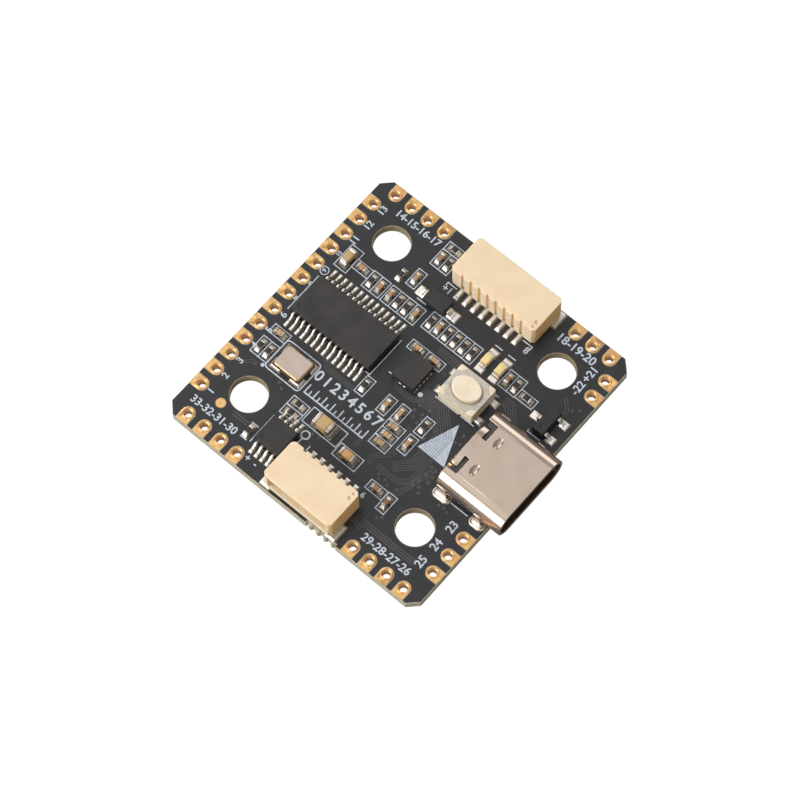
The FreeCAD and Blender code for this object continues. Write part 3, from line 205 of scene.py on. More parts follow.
# low x, low y, high x, high y, number of vias
VIA_FIELDS_TOP = (
    (7.2, -7.3, 8.2, -4.4, 9),
    (3.9, -8.6, 6.6, -8.2, 5),
    (4.2, -3.3, 5.9, -1.2, 5),
    (2.45, -2.2, 3.7, -0.5, 7),
    (-3.4, -9.2, -1.2, -9.0, 2),
    (10.2, -7.4, 13.0, -6.8, 3),
    (13.3, 7.6, 14.2, 8.9, 2),
    (6.4, -12.0, 7.4, -10.9, 2),
    (7.4, -1.6, 8.4, -0.2, 3),
    (-9.2, -7.7, -7.6, -7.3, 2),
)
BUNDLES_UNDERSIDE = (
    (((-8.6, 3.0), (-11.4, 5.8), (-11.4, 7.2)), 4, 0.25, 0.12),
    (((-8.6, -2.0), (-10.2, -3.6), (-10.2, -7.2)), 3, -0.25, 0.12),
    (((8.8, 2.4), (11.2, 4.8), (12.4, 4.8)), 3, -0.25, 0.12),
    (((-2.0, 9.0), (-2.0, 9.9), (-3.2, 11.1)), 3, 0.25, 0.12),
    (((8.8, -3.0), (10.0, -4.2), (10.0, -6.6)), 4, 0.25, 0.12),
)
VIA_FIELDS_UNDERSIDE = (
    (-13.0, -1.6, -11.4, 1.8, 7),
    (10.4, -3.2, 12.8, 0.6, 8),
    (-6.4, 9.6, -4.6, 10.6, 4),
    (2.2, -10.6, 5.0, -9.8, 4),
)
UNDERSIDE_FRAME_GAPS = {"inductor_bodies": 0.35, "barometer_base": 0.35, "memory_chip_body": 0.5}
UNDERSIDE_CELL_GAP = 0.3
VIA_RADIUS = 0.17
VIA_DRILL = 0.08
VIA_SLOPE = 0.02
VIA_SPACING = 0.46
VIA_TRIES = 60
VIA_SEED = 20
# (radius, height over the pad) round the mouth of a wire hole
WIRE_HOLE_RIM = ((0.59, -0.004), (0.57, 0.026), (0.54, 0.045), (0.51, 0.043), (0.43, 0.006), (0.395, -0.015),
                 (0.385, -0.06), (0.41, -0.06))

# ---- solder: how high it climbs on the metal of each kind of part ----
SOLDER_ON_TOP = {
    "small_capacitor_ends": 0.34, "large_capacitor_ends": 0.6, "resistor_ends": 0.22, "led_ends": 0.2,
    "display_chip_leads": 0.11, "driver_chip_leads": 0.11, "transistor_leads": 0.13, "diode_leads": 0.15,
    "boot_button_terminals": 0.14, "motor_socket_contacts": 0.15, "serial_socket_contacts": 0.15,
    "motor_socket_anchors": 0.2, "serial_socket_anchors": 0.2, "usb_contacts": 0.1,
    "crystal_base": 0.26, "motion_sensor_pads": 0.03,
}
SOLDER_UNDERNEATH = {
    "underside_capacitor_ends": 0.34, "processor_leads": 0.11, "memory_chip_pads": 0.2,
    "regulator_pads": 0.16, "inductor_ends": 0.12, "barometer_base": 0.15,
}
SOLDER_REACH_SHARE = 0.35
SOLDER_REACH_LEAST = 0.02
SOLDER_CELL = 0.055
SOLDER_SKIN = 0.03
SOLDER_EDGE = 0.12          # the thin skin rises to its full height within this distance of the pad's edge
CLIMB_EDGE = 0.05
# (inset from the pad's edge, height) of the solder round a leg of the USB shell
COLLAR_OUTLINE = ((0.0, 0.0), (0.02, 0.05), (0.06, 0.08), (0.1, 0.075), (0.16, 0.035), (0.26, 0.015),
                  (0.35, 0.05), (0.4, 0.14))

# ---- bounds of the materials' own zones ----
CLOTH_PITCH = 0.27          # height of one layer of glass cloth
HOLE_SHADE_WITHIN = 13.0       # walls nearer to the middle than this are drilled, not routed, and get painted shade
BARREL_HALF_HEIGHT = (0.42, 0.53)   # from the board's middle: the painted-light barrel tint is full, then gone

# ---- rounding of each CAD piece's edges: width and steps ----
EDGE_ROUNDING = {
    "edge_pads": (0.025, 1), "usb_shell": (0.05, 3), "usb_insulator": (0.03, 2), "usb_contacts": (0.015, 1),
    "motor_socket_housing": (0.06, 3), "serial_socket_housing": (0.06, 3),
    "motor_socket_contacts": (0.03, 2), "serial_socket_contacts": (0.03, 2),
    "motor_socket_anchors": (0.05, 2), "serial_socket_anchors": (0.05, 2),
    "boot_button_base": (0.04, 2), "boot_button_cover": (0.03, 2), "boot_button_terminals": (0.04, 2),
    "display_chip_body": (0.04, 2), "display_chip_leads": (0.03, 2),
    "driver_chip_body": (0.03, 2), "driver_chip_leads": (0.03, 2),
    "motion_sensor_body": (0.035, 2), "transistor_body": (0.04, 2), "transistor_leads": (0.03, 2),
    "diode_body": (0.05, 2), "diode_leads": (0.03, 2),
    "crystal_base": (0.03, 2), "crystal_seal_ring": (0.02, 2),
    "led_bases": (0.02, 1), "led_lenses": (0.06, 3), "led_ends": (0.04, 2),
    "small_capacitor_bodies": (0.03, 2), "small_capacitor_ends": (0.06, 3),
    "large_capacitor_bodies": (0.05, 2), "large_capacitor_ends": (0.1, 3),
    "resistor_substrates": (0.01, 1), "resistor_coats": (0.02, 2), "resistor_ends": (0.04, 2),
    "processor_body": (0.06, 2), "processor_leads": (0.03, 1),
    "memory_chip_body": (0.05, 2), "regulator_body": (0.04, 2),
    "barometer_lid": (0.06, 3), "barometer_base": (0.02, 1), "inductor_bodies": (0.08, 3),
    "inductor_ends": (0.03, 1), "memory_chip_pads": (0.015, 1), "regulator_pads": (0.015, 1),
    "underside_capacitor_bodies": (0.03, 2), "underside_capacitor_ends": (0.06, 3),
}
ROUNDED_EDGE_ANGLE = 35.0


# ======== procedural materials ========

def linear(colour):
    """Scene-linear RGBA of a display colour with channels from 0 to 255."""
    channels = []
    for channel in colour:
        share = channel / 255
        channels.append(share / 12.92 if share <= 0.04045 else ((share + 0.055) / 1.055) ** 2.4)
    return (*channels, 1.0)


def noise(tree, size, stretch=(1.0, 1.0, 1.0), detail=4.0):
    """Noise with patches about size across, on the piece's own place in the frame."""
    place = tree.nodes.new("ShaderNodeTexCoord")
    mapping = tree.nodes.new("ShaderNodeMapping")
    mapping.inputs["Scale"].default_value = stretch
    texture = tree.nodes.new("ShaderNodeTexNoise")
    texture.inputs["Scale"].default_value = 1 / (size * MM)
    texture.inputs["Detail"].default_value = detail
    tree.links.new(place.outputs["Object"], mapping.inputs["Vector"])
    tree.links.new(mapping.outputs["Vector"], texture.inputs["Vector"])
    return texture.outputs["Fac"]


def ranged(tree, value, low, high, start=0.35, end=0.65):
    """The value's middle part, spread from low to high."""
    node = tree.nodes.new("ShaderNodeMapRange")
    node.inputs["From Min"].default_value = start
    node.inputs["From Max"].default_value = end
    node.inputs["To Min"].default_value = low
    node.inputs["To Max"].default_value = high
    tree.links.new(value, node.inputs["Value"])
    return node.outputs["Result"]


def colour_between(tree, share, first, second):
    """Colour that goes from the first to the second as share goes from 0 to 1."""
    ramp = tree.nodes.new("ShaderNodeValToRGB")
    ramp.color_ramp.elements[0].color = linear(first)
    ramp.color_ramp.elements[1].color = linear(second)
    tree.links.new(share, ramp.inputs["Fac"])
    return ramp.outputs["Color"]


def relief(tree, shader, value, depth):
    """Fine relief of a given depth on the shader's normal."""
    bump = tree.nodes.new("ShaderNodeBump")
    bump.inputs["Distance"].default_value = depth * MM
    tree.links.new(value, bump.inputs["Height"])
    tree.links.new(bump.outputs["Normal"], shader.inputs["Normal"])


def make_finish(name, colours, patch, roughness, grain, depth, metallic=0.0, stretch=(1, 1, 1), extra=()):
    """Material with two colours in soft patches, a range of roughness and a fine grain in relief."""
    material = bpy.data.materials.new(name)
    material.use_nodes = True
    tree = material.node_tree
    shader = tree.nodes["Principled BSDF"]
    shader.inputs["Metallic"].default_value = metallic
    for socket, value in extra:
        shader.inputs[socket].default_value = value
    patches = ranged(tree, noise(tree, patch, stretch), 0.0, 1.0)
    tree.links.new(colour_between(tree, patches, *colours), shader.inputs["Base Color"])
    fine = noise(tree, grain, stretch)
    tree.links.new(ranged(tree, fine, *roughness), shader.inputs["Roughness"])
    relief(tree, shader, fine, depth)
    return material


def mask_finish(name, colours):
    """Satin black solder mask: faint mottling, and the slight waviness of a cured film."""
    return make_finish(name, colours, 1.6, (0.34, 0.44), 0.35, 0.002)


def math_node(tree, operation, *values):
    """Result of a calculation on linked values and plain numbers."""
    node = tree.nodes.new("ShaderNodeMath")
    node.operation = operation
    for socket, value in zip(node.inputs, values):
        if isinstance(value, (int, float)):
            socket.default_value = value
        else:
            tree.links.new(value, socket)
    return node.outputs["Value"]


def place_values(tree):
    """The X, Y and Z of the shaded point in the frame."""
    place = tree.nodes.new("ShaderNodeTexCoord")
    split = tree.nodes.new("ShaderNodeSeparateXYZ")
    tree.links.new(place.outputs["Object"], split.inputs["Vector"])
    return split.outputs["X"], split.outputs["Y"], split.outputs["Z"]


def tint_base(tree, share, colour, blend="MULTIPLY"):
    """Changes the shader's base colour by a second colour where share is high."""
    shader = tree.nodes["Principled BSDF"]
    base = shader.inputs["Base Color"].links[0].from_socket
    mix = tree.nodes.new("ShaderNodeMix")
    mix.data_type = "RGBA"
    mix.blend_type = blend
    colour_inputs = [socket for socket in mix.inputs if socket.type == "RGBA"]
    colour_output = [socket for socket in mix.outputs if socket.type == "RGBA"][0]
    tree.links.new(share, mix.inputs["Factor"])
    tree.links.new(base, colour_inputs[0])
    colour_inputs[1].default_value = linear(colour)
    tree.links.new(colour_output, shader.inputs["Base Color"])


def laminate_finish():
    """Glass epoxy: pale resin with its cloth in thin lines. The drilled walls of the holes carry painted
    shade, so they are browner than the outer edge.
    """
    extra = (("Subsurface Weight", 0.15), ("Subsurface Scale", 0.3 * MM))
    material = make_finish("laminate", ((178, 170, 148), (204, 198, 178)), 0.7, (0.55, 0.75), 0.05, 0.01,
                           stretch=(1, 1, 3), extra=extra)
    tree = material.node_tree
    x, y, z = place_values(tree)
    wave = math_node(tree, "SINE", math_node(tree, "MULTIPLY", z, 2 * math.pi / (CLOTH_PITCH * MM)))
    tint_base(tree, ranged(tree, wave, 0.0, 0.8, 0.55, 0.95), (196, 184, 152))
    reach = math_node(tree, "MAXIMUM", math_node(tree, "ABSOLUTE", x), math_node(tree, "ABSOLUTE", y))
    # painted shade: the walls of the holes are darkened, where little light reaches inside the board
    hole_wall_shade = ranged(tree, reach, 1.0, 0.0, HOLE_SHADE_WITHIN * MM, (HOLE_SHADE_WITHIN + 1) * MM)
    tint_base(tree, hole_wall_shade, (206, 196, 178))
    return material


def gold_finish(name, colours, roughness):
    """Thin gold over nickel, with a fine matte grain."""
    return make_finish(name, colours, 0.5, roughness, 0.06, 0.001, metallic=1.0)


def pad_gold_finish():
    """Gold of the wire pads. The barrels inside the board are paler and shine less: painted light that stands
    in for the light seen on their walls.
    """
    material = gold_finish("gold_plating", ((222, 174, 112), (236, 194, 134)), (0.24, 0.36))
    tree = material.node_tree
    shader = tree.nodes["Principled BSDF"]
    from_middle = math_node(tree, "ABSOLUTE", math_node(tree, "SUBTRACT", place_values(tree)[2],
                                                        BOARD_MIDDLE * MM))
    tinted, clear = BARREL_HALF_HEIGHT
    # painted light: the barrel walls get a paler, less metallic colour so they look lit inside the hole
    depth = ranged(tree, from_middle, 1.0, 0.0, tinted * MM, clear * MM)
    tint_base(tree, depth, (238, 200, 156), "MIX")
    tree.links.new(ranged(tree, depth, 1.0, 0.25, 0.0, 1.0), shader.inputs["Metallic"])
    return material


def bare_metal(name, colours, roughness, patch=0.5, grain=0.08, depth=0.0008, stretch=(1, 1, 1)):
    return make_finish(name, colours, patch, roughness, grain, depth, metallic=1.0, stretch=stretch)


def plastic_finish(name, colours, roughness, patch=1.5, grain=0.06, depth=0.004, extra=()):
    return make_finish(name, colours, patch, roughness, grain, depth, extra=extra)


def socket_finish():
    """Cream nylon of the wire sockets. Faces turned towards +X, the shaded side, get a painted warm shade
    that makes them yellower than the top.
    """
    extra = (("Subsurface Weight", 0.6), ("Subsurface Scale", 0.8 * MM),
             ("Subsurface Radius", (1.0, 0.65, 0.4)))
    material = plastic_finish("socket_plastic", ((231, 209, 176), (236, 215, 184)), (0.5, 0.62), 2.2, 0.07,
                              0.004, extra)
    tree = material.node_tree
    surface = tree.nodes.new("ShaderNodeNewGeometry")
    facing = tree.nodes.new("ShaderNodeSeparateXYZ")
    tree.links.new(surface.outputs["True Normal"], facing.inputs["Vector"])
    # painted shade: faces turned towards +X, away from the key lamp, are tinted warmer, standing in for light
    # glowing through the shaded plastic
    painted_warm_shade_side = ranged(tree, facing.outputs["X"], 0.0, 1.0, 0.4, 1.0)
    tint_base(tree, painted_warm_shade_side, (255, 232, 184))
    return material


def lens_finish():
    """Milky yellow resin over the light's die."""
    extra = (("Transmission Weight", 0.1), ("Subsurface Weight", 0.4), ("Subsurface Scale", 0.3 * MM),
             ("IOR", 1.5))
    return plastic_finish("led_lens", ((250, 220, 150), (255, 232, 172)), (0.15, 0.25), 0.4, extra=extra)


def make_slot_materials():
    """One material for each of the record's material slots."""
    return {
        "laminate": laminate_finish(),
        "solder_mask": mask_finish("solder_mask", ((30, 30, 33), (36, 35, 38))),
        "gold_plating": pad_gold_finish(),
        "solder": bare_metal("solder", ((234, 227, 221), (246, 241, 236)), (0.24, 0.38), 0.5, 0.25, 0.0006),
        "usb_steel": bare_metal("usb_steel", ((186, 170, 155), (193, 177, 163)), (0.19, 0.24), 4.5, 2.0,
                                0.0002),
        "black_insulator": plastic_finish("black_insulator", ((58, 55, 54), (68, 64, 62)), (0.25, 0.4)),
        "contact_gold": gold_finish("contact_gold", ((236, 190, 110), (248, 206, 132)), (0.2, 0.3)),
        "inner_steel": bare_metal("inner_steel", ((170, 168, 164), (190, 188, 184)), (0.3, 0.4)),
        "socket_plastic": socket_finish(),
        "tinned_metal": bare_metal("tinned_metal", ((214, 206, 197), (236, 230, 223)), (0.22, 0.36), 0.3),
        "button_plastic": plastic_finish("button_plastic", ((226, 210, 182), (234, 219, 193)), (0.5, 0.62),
                                         1.0, 0.06, 0.004, (("Subsurface Weight", 0.15),
                                                            ("Subsurface Scale", 0.3 * MM))),
        "button_cap": plastic_finish("button_cap", ((228, 212, 186), (236, 222, 198)), (0.42, 0.52), 1.2,
                                     0.09, 0.003, (("Subsurface Weight", 0.15),
                                                   ("Subsurface Scale", 0.3 * MM))),
        "button_steel": bare_metal("button_steel", ((196, 190, 178), (210, 204, 192)), (0.3, 0.42), 0.8,
                                   0.15, 0.0006, (1, 4, 1)),
        "chip_plastic": plastic_finish("chip_plastic", ((35, 34, 34), (50, 46, 44)), (0.48, 0.66), 2.4,
                                       0.045, 0.006),
        "crystal_ceramic": plastic_finish("crystal_ceramic", ((60, 50, 42), (74, 62, 52)), (0.5, 0.65), 0.4),
        "crystal_gold": gold_finish("crystal_gold", ((240, 190, 104), (250, 208, 130)), (0.18, 0.28)),
        "crystal_steel": bare_metal("crystal_steel", ((190, 174, 161), (197, 182, 171)), (0.26, 0.34), 1.8,
                                    0.9, 0.0003, (1, 2, 1)),
        "led_plastic": plastic_finish("led_plastic", ((226, 222, 210), (236, 232, 222)), (0.5, 0.6), 0.4),
        "led_lens": lens_finish(),
        "capacitor_ceramic": plastic_finish("capacitor_ceramic", ((134, 102, 78), (190, 150, 106)),
                                            (0.4, 0.55), 2.6, 0.05, 0.004),
        "capacitor_tan": plastic_finish("capacitor_tan", ((180, 154, 108), (200, 156, 98)), (0.4, 0.55),
                                        2.4, 0.06, 0.004),
        "end_caps": bare_metal("end_caps", ((168, 156, 144), (224, 214, 203)), (0.28, 0.42), 0.9, 0.08),
        "resistor_ceramic": plastic_finish("resistor_ceramic", ((208, 206, 200), (220, 218, 212)), (0.5, 0.6),
                                           0.6),
        "resistor_black": plastic_finish("resistor_black", ((34, 30, 29), (44, 39, 37)), (0.3, 0.45), 0.4),
        "barometer_board": plastic_finish("barometer_board", ((38, 60, 44), (46, 70, 52)), (0.4, 0.5), 0.5),
        "barometer_steel": bare_metal("barometer_steel", ((196, 194, 190), (210, 208, 204)), (0.26, 0.38),
                                      0.8),
        "inductor_ferrite": plastic_finish("inductor_ferrite", ((66, 66, 68), (80, 79, 80)), (0.6, 0.75),
                                           0.8, 0.05, 0.012),
    }


# ======== mesh helpers, in millimetres ========

def new_piece(name, shape, material, body=BOARD):
    """Turns a bmesh in millimetres into a piece that rides on a body."""
    bmesh.ops.recalc_face_normals(shape, faces=shape.faces)
    shape.transform(Matrix.Scale(MM, 4))
    mesh = bpy.data.meshes.new(name)
    shape.to_mesh(mesh)
    shape.free()
    mesh.materials.append(material)
    piece = bpy.data.objects.new(name, mesh)
    bpy.context.scene.collection.objects.link(piece)
    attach(piece, body)
    return piece


def side_vectors(points, closed):
    """For each point of a flat line, the vector to its left side, longer at corners."""
    vectors = []
    count = len(points)
    for index, point in enumerate(points):
        before = points[index - 1] if index or closed else None
        after = points[(index + 1) % count] if index < count - 1 or closed else None
        normals = []
        for start, end in ((before, point), (point, after)):
            if start is not None and end is not None:
                run = Vector((end[0] - start[0], end[1] - start[1])).normalized()
                normals.append(Vector((-run.y, run.x)))
        if len(normals) == 1:
            vectors.append(normals[0])
        else:
            vectors.append((normals[0] + normals[1]) / (1 + normals[0].dot(normals[1])))
    return vectors


def moved_line(points, distance, closed=False):
    """The line that runs beside a flat line, at a distance to its left."""
    sides = side_vectors(points, closed)
    return [(x + side.x * distance, y + side.y * distance) for (x, y), side in zip(points, sides)]


def next_hair():
    """A tiny extra height that differs from line to line."""
    return HAIR * (next(LINES_PRINTED) % HAIR_CYCLE)


def add_ribbon(shape, points, width, level, rise, closed=False):
    """Raised line with sloping sides. A negative rise makes one that hangs below its level."""
    rise += math.copysign(next_hair(), rise)
    foot = level - math.copysign(SUNK, rise)
    half = width / 2
    shoulder = max(half - abs(rise), half * 0.5)
    outline = ((-half, foot), (-shoulder, level + rise), (shoulder, level + rise), (half, foot))
    rings = []
    for (x, y), side in zip(points, side_vectors(points, closed)):
        rings.append([shape.verts.new((x + side.x * off, y + side.y * off, z)) for off, z in outline])
    spans = list(zip(rings, rings[1:]))
    if closed:
        spans.append((rings[-1], rings[0]))
    else:
        shape.faces.new(rings[0])
        shape.faces.new(rings[-1])
    for near, far in spans:
        for index in range(4):
            after = (index + 1) % 4
            shape.faces.new((near[index], near[after], far[after], far[index]))


def circle_points(x, y, radius, count=32):
    turns = [2 * math.pi * index / count for index in range(count)]
    return [(x + radius * math.cos(turn), y + radius * math.sin(turn)) for turn in turns]


def rounded_frame(low_x, low_y, high_x, high_y, radius, steps=5):
    """Points of a rectangle with rounded corners, anticlockwise."""
    points = []
    corners = ((high_x - radius, high_y - radius), (low_x + radius, high_y - radius),
               (low_x + radius, low_y + radius), (high_x - radius, low_y + radius))
    for quarter, (x, y) in enumerate(corners):
        for step in range(steps + 1):
            turn = math.pi / 2 * (quarter + step / steps)
            points.append((x + radius * math.cos(turn), y + radius * math.sin(turn)))
    return points


def add_turned(shape, x, y, profile, count=20):
    """Round solid about an upright axis, from (radius, height) points. The ends are closed flat."""
    rings = []
    for radius, height in profile:
        rings.append([shape.verts.new((px, py, height)) for px, py in circle_points(x, y, radius, count)])
    for near, far in zip(rings, rings[1:]):
        for index in range(count):
            after = (index + 1) % count
            shape.faces.new((near[index], near[after], far[after], far[index]))
    shape.faces.new(rings[0])
    shape.faces.new(rings[-1])


def add_turned_ring(shape, x, y, profile, count=28):
    """Ring about an upright axis, from a closed loop of (radius, height) points."""
    rings = []
    for radius, height in profile:
        rings.append([shape.verts.new((px, py, height)) for px, py in circle_points(x, y, radius, count)])
    for index, near in enumerate(rings):
        far = rings[(index + 1) % len(rings)]
        for column in range(count):
            after = (column + 1) % count
            shape.faces.new((near[column], near[after], far[after], far[column])).smooth = True


def add_slab(shape, points, level, rise):
    """Flat prism on a convex outline."""
    foot = level - math.copysign(SUNK, rise)
    lower = [shape.verts.new((x, y, foot)) for x, y in points]
    upper = [shape.verts.new((x, y, level + rise)) for x, y in points]
    shape.faces.new(lower)
    shape.faces.new(upper)
    for index in range(len(points)):
        after = (index + 1) % len(points)
        shape.faces.new((lower[index], lower[after], upper[after], upper[index]))


def add_text(shape, text, x, y, height, turn, level, rise):
    """Raised printed characters, centred on a point."""
    curve = bpy.data.curves.new("print", "FONT")
    curve.body = text
    curve.size = height / CAP_HEIGHT_SHARE
    curve.align_x = "CENTER"
    curve.align_y = "CENTER"
    curve.extrude = (abs(rise) + SUNK) / 2
    curve.offset = STROKE_SWELL * height
    curve.resolution_u = 3
    holder = bpy.data.objects.new("print", curve)
    bpy.context.scene.collection.objects.link(holder)
    mesh = bpy.data.meshes.new_from_object(holder.evaluated_get(bpy.context.evaluated_depsgraph_get()))
    bpy.data.objects.remove(holder)
    bpy.data.curves.remove(curve)
    middle = level + (rise - math.copysign(SUNK, rise)) / 2
    place = Matrix.Translation((x, y, middle)) @ Matrix.Rotation(math.radians(turn), 4, "Z")
    mesh.transform(place)
    shape.from_mesh(mesh)
    bpy.data.meshes.remove(mesh)


def body_of_node(node):
    for body, members in frame["record"]["behaviour"]["bodies"].items():
        if node in members:
            return body
    raise ValueError(node)


def node_shape(node):
    """A CAD node's mesh as a bmesh in millimetres, with its split corners joined again."""
    shape = bmesh.new()
    shape.from_mesh(NODES[node].data)
    shape.transform(Matrix.Scale(1 / MM, 4))
    bmesh.ops.remove_doubles(shape, verts=shape.verts, dist=0.0005)
    return shape


def solid_boxes(node):
    """The (low corner, high corner) box of each separate solid in a CAD node."""
    shape = node_shape(node)
    seen = set()
    boxes = []
    for first in shape.verts:
        if first in seen:
            continue
        seen.add(first)
        waiting = [first]
        members = []
        while waiting:
            vertex = waiting.pop()
            members.append(vertex.co.copy())
            for edge in vertex.link_edges:
                other = edge.other_vert(vertex)
                if other not in seen:
                    seen.add(other)
                    waiting.append(other)
        low = Vector([min(point[axis] for point in members) for axis in range(3)])
        high = Vector([max(point[axis] for point in members) for axis in range(3)])
        boxes.append((low, high))
    shape.free()
    return boxes


def middle_of(box):
    return (box[0] + box[1]) / 2


# ======== CAD pieces with rounded edges ========

def round_edges(node, width, steps, materials):
    """Stands a copy with rounded edges in for a CAD node."""
    shape = node_shape(node)
    bmesh.ops.dissolve_limit(shape, angle_limit=math.radians(1), verts=shape.verts, edges=shape.edges)
    for face in shape.faces:
        face.smooth = True
    slot = NODES[node].data.materials[0].name
    piece = new_piece(node + "_rounded", shape, materials[slot], body_of_node(node))
    bevel = piece.modifiers.new("rounding", "BEVEL")
    bevel.width = width * MM
    bevel.segments = steps
    bevel.limit_method = "ANGLE"
    bevel.angle_limit = math.radians(ROUNDED_EDGE_ANGLE)
    bevel.use_clamp_overlap = False
    normals = piece.modifiers.new("flat_faces_stay_flat", "WEIGHTED_NORMAL")
    normals.weight = 100
    normals.keep_sharp = True
    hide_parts(node)
    return piece


def finish_cad_nodes(materials):
    slots = {node: NODES[node].data.materials[0].name for node in NODES}
    for node, slot in slots.items():
        if node in EDGE_ROUNDING:
            width, steps = EDGE_ROUNDING[node]
            round_edges(node, width, steps, materials)
        else:
            for holder in NODES[node].material_slots:
                holder.material = materials[slot]


# ======== printed layers ========

def add_bundle(shape, points, count, pitch, width, level, rise):
    """Parallel copper lines that turn together."""
    for index in range(count):
        add_ribbon(shape, moved_line(points, index * pitch), width, level, rise)


def add_via(shape, x, y, level, rise):
    """Small plated hole, filled and covered by the mask: a ring with a dimple."""
    rise += math.copysign(next_hair(), rise)
    profile = ((VIA_RADIUS, level - math.copysign(SUNK, rise)), (VIA_RADIUS - VIA_SLOPE, level + rise),
               (VIA_DRILL + VIA_SLOPE, level + rise), (VIA_DRILL, level + rise * 0.2))
    add_turned(shape, x, y, profile, 16)


def scatter_vias(shape, fields, draw, level, rise):
    """The asked number of vias in each field, at least VIA_SPACING apart."""
    placed = []
    for low_x, low_y, high_x, high_y, count in fields:
        wanted = len(placed) + count
        for _ in range(VIA_TRIES):
            spot = (draw.uniform(low_x, high_x), draw.uniform(low_y, high_y))
            if len(placed) < wanted and all(math.dist(spot, other) > VIA_SPACING for other in placed):
                placed.append(spot)
    for x, y in placed:
        add_via(shape, x, y, level, rise)


def make_top_copper(material, draw):
    shape = bmesh.new()
    for points, count, pitch, width in BUNDLES_TOP:
        add_bundle(shape, points, count, pitch, width, MASK_TOP, TRACE_RISE)
    scatter_vias(shape, VIA_FIELDS_TOP, draw, MASK_TOP, TRACE_RISE)
    new_piece("copper_lines_top", shape, material)


def make_underside_copper(material, draw):
    shape = bmesh.new()
    for points, count, pitch, width in BUNDLES_UNDERSIDE:
        add_bundle(shape, points, count, pitch, width, MASK_UNDERSIDE, -TRACE_RISE)
    scatter_vias(shape, VIA_FIELDS_UNDERSIDE, draw, MASK_UNDERSIDE, -TRACE_RISE)
    new_piece("copper_lines_underside", shape, material)


def chip_cells(bodies, ends):
    """Centre of each small chip part, and whether it lies along X."""
    end_boxes = [middle_of(box) for box in solid_boxes(ends)]
    cells = []
    for box in solid_boxes(bodies):
        centre = middle_of(box)
        nearest = min(end_boxes, key=lambda end: (end - centre).length)
        offset = nearest - centre
        cells.append((centre.x, centre.y, abs(offset.x) > abs(offset.y)))
    return cells


def add_frame(shape, low_x, low_y, high_x, high_y, level, rise):
    corners = [(low_x, low_y), (high_x, low_y), (high_x, high_y), (low_x, high_y)]
    add_ribbon(shape, corners, INK_WIDTH, level, rise, True)


def is_unboxed(x, y):
    return any(math.hypot(x - px, y - py) < UNBOXED_WITHIN for px, py in UNBOXED_PARTS)


def add_cell_frames(shape, level, rise):
    """Outlines round the small chip parts. Neighbours share a line."""
    cells = chip_cells("small_capacitor_bodies", "small_capacitor_ends")
    cells += chip_cells("resistor_substrates", "resistor_ends")
    for x, y, lies_along_x in sorted(cells):
        if is_unboxed(x, y):
            continue
        half_x, half_y = CELL_SHORT / 2, CELL_LONG / 2
        if lies_along_x:
            half_x, half_y = half_y, half_x
        add_frame(shape, x - half_x, y - half_y, x + half_x, y + half_y, level, rise)


def add_rule(shape):
    """Millimetre rule printed across the middle of the board."""
    for index in range(2 * RULE_MARKS - 1):
        x = RULE_START + index / 2
        tick = RULE_SHORT_TICK if index % 2 else RULE_LONG_TICK
        line = [(x, RULE_BASE_Y), (x, RULE_BASE_Y + tick)]
        add_ribbon(shape, line, RULE_TICK_WIDTH, MASK_TOP, INK_RISE)
        if index % 2 == 0:
            add_text(shape, str(index // 2), x, RULE_NUMBER_Y, RULE_NUMBER_HEIGHT, 0, MASK_TOP, INK_RISE)
    end_x = RULE_START + RULE_MARKS - 1
    base = [(RULE_START - RULE_OVERHANG, RULE_BASE_Y), (end_x + RULE_OVERHANG, RULE_BASE_Y)]
    add_ribbon(shape, base, RULE_BASE_WIDTH, MASK_TOP, INK_RISE)


def make_top_ink(material):
    shape = bmesh.new()
    add_cell_frames(shape, MASK_TOP, INK_RISE)
    for box in WIDE_BOXES:
        add_frame(shape, *box, MASK_TOP, INK_RISE)
    crystal_frame = rounded_frame(*CRYSTAL_FRAME, CRYSTAL_FRAME_CORNER)
    add_ribbon(shape, crystal_frame, CRYSTAL_FRAME_WIDTH, MASK_TOP, INK_RISE, True)
    for points in INK_LINES:
        add_ribbon(shape, list(points), INK_LINE_WIDTH, MASK_TOP, INK_RISE)
    for x, y, radius, width in INK_RINGS:
        add_ribbon(shape, circle_points(x, y, radius), width, MASK_TOP, INK_RISE, True)
    for x, y, radius in INK_DOTS:
        add_turned(shape, x, y, ((radius, MASK_TOP - SUNK), (radius - 0.01, MASK_TOP + INK_RISE)))
    for text, x, y, height, turn in LABELS_TOP:
        add_text(shape, text, x, y, height, turn, MASK_TOP, INK_RISE)
    pads = [middle_of(box) for box in solid_boxes("edge_pads")]
    left_pads = sorted(pad.y for pad in pads if pad.x < LEFT_PADS_BEFORE)
    for index, pad_y in enumerate(left_pads):
        number = index + 1
        x, y, height = LEFT_LABEL_CHANGES.get(number, (LEFT_LABEL_X, pad_y, LEFT_LABEL_HEIGHT))
        add_text(shape, str(number), x, y, height, 90, MASK_TOP, INK_RISE)
    add_rule(shape)
    new_piece("silkscreen_top", shape, material)


def make_underside_ink(material):
    """Outlines round the larger parts and the capacitors under the board."""
    shape = bmesh.new()
    framed = solid_boxes("underside_capacitor_ends")
    pairs = {}
    for low, high in solid_boxes("underside_capacitor_bodies"):
        middle = (low + high) / 2
        ends = sorted(framed, key=lambda box: (middle_of(box) - middle).length)[:2]
        pairs[tuple(middle)] = ends
    boxes = []
    for ends in pairs.values():
        low = [min(end[0][axis] for end in ends) for axis in (0, 1)]
        high = [max(end[1][axis] for end in ends) for axis in (0, 1)]
        boxes.append((low, high, UNDERSIDE_CELL_GAP))
    for node, gap in UNDERSIDE_FRAME_GAPS.items():
        boxes += [(low, high, gap) for low, high in solid_boxes(node)]
    for low, high, gap in boxes:
        add_frame(shape, low[0] - gap, low[1] - gap, high[0] + gap, high[1] + gap, MASK_UNDERSIDE, -INK_RISE)
    new_piece("silkscreen_underside", shape, material)


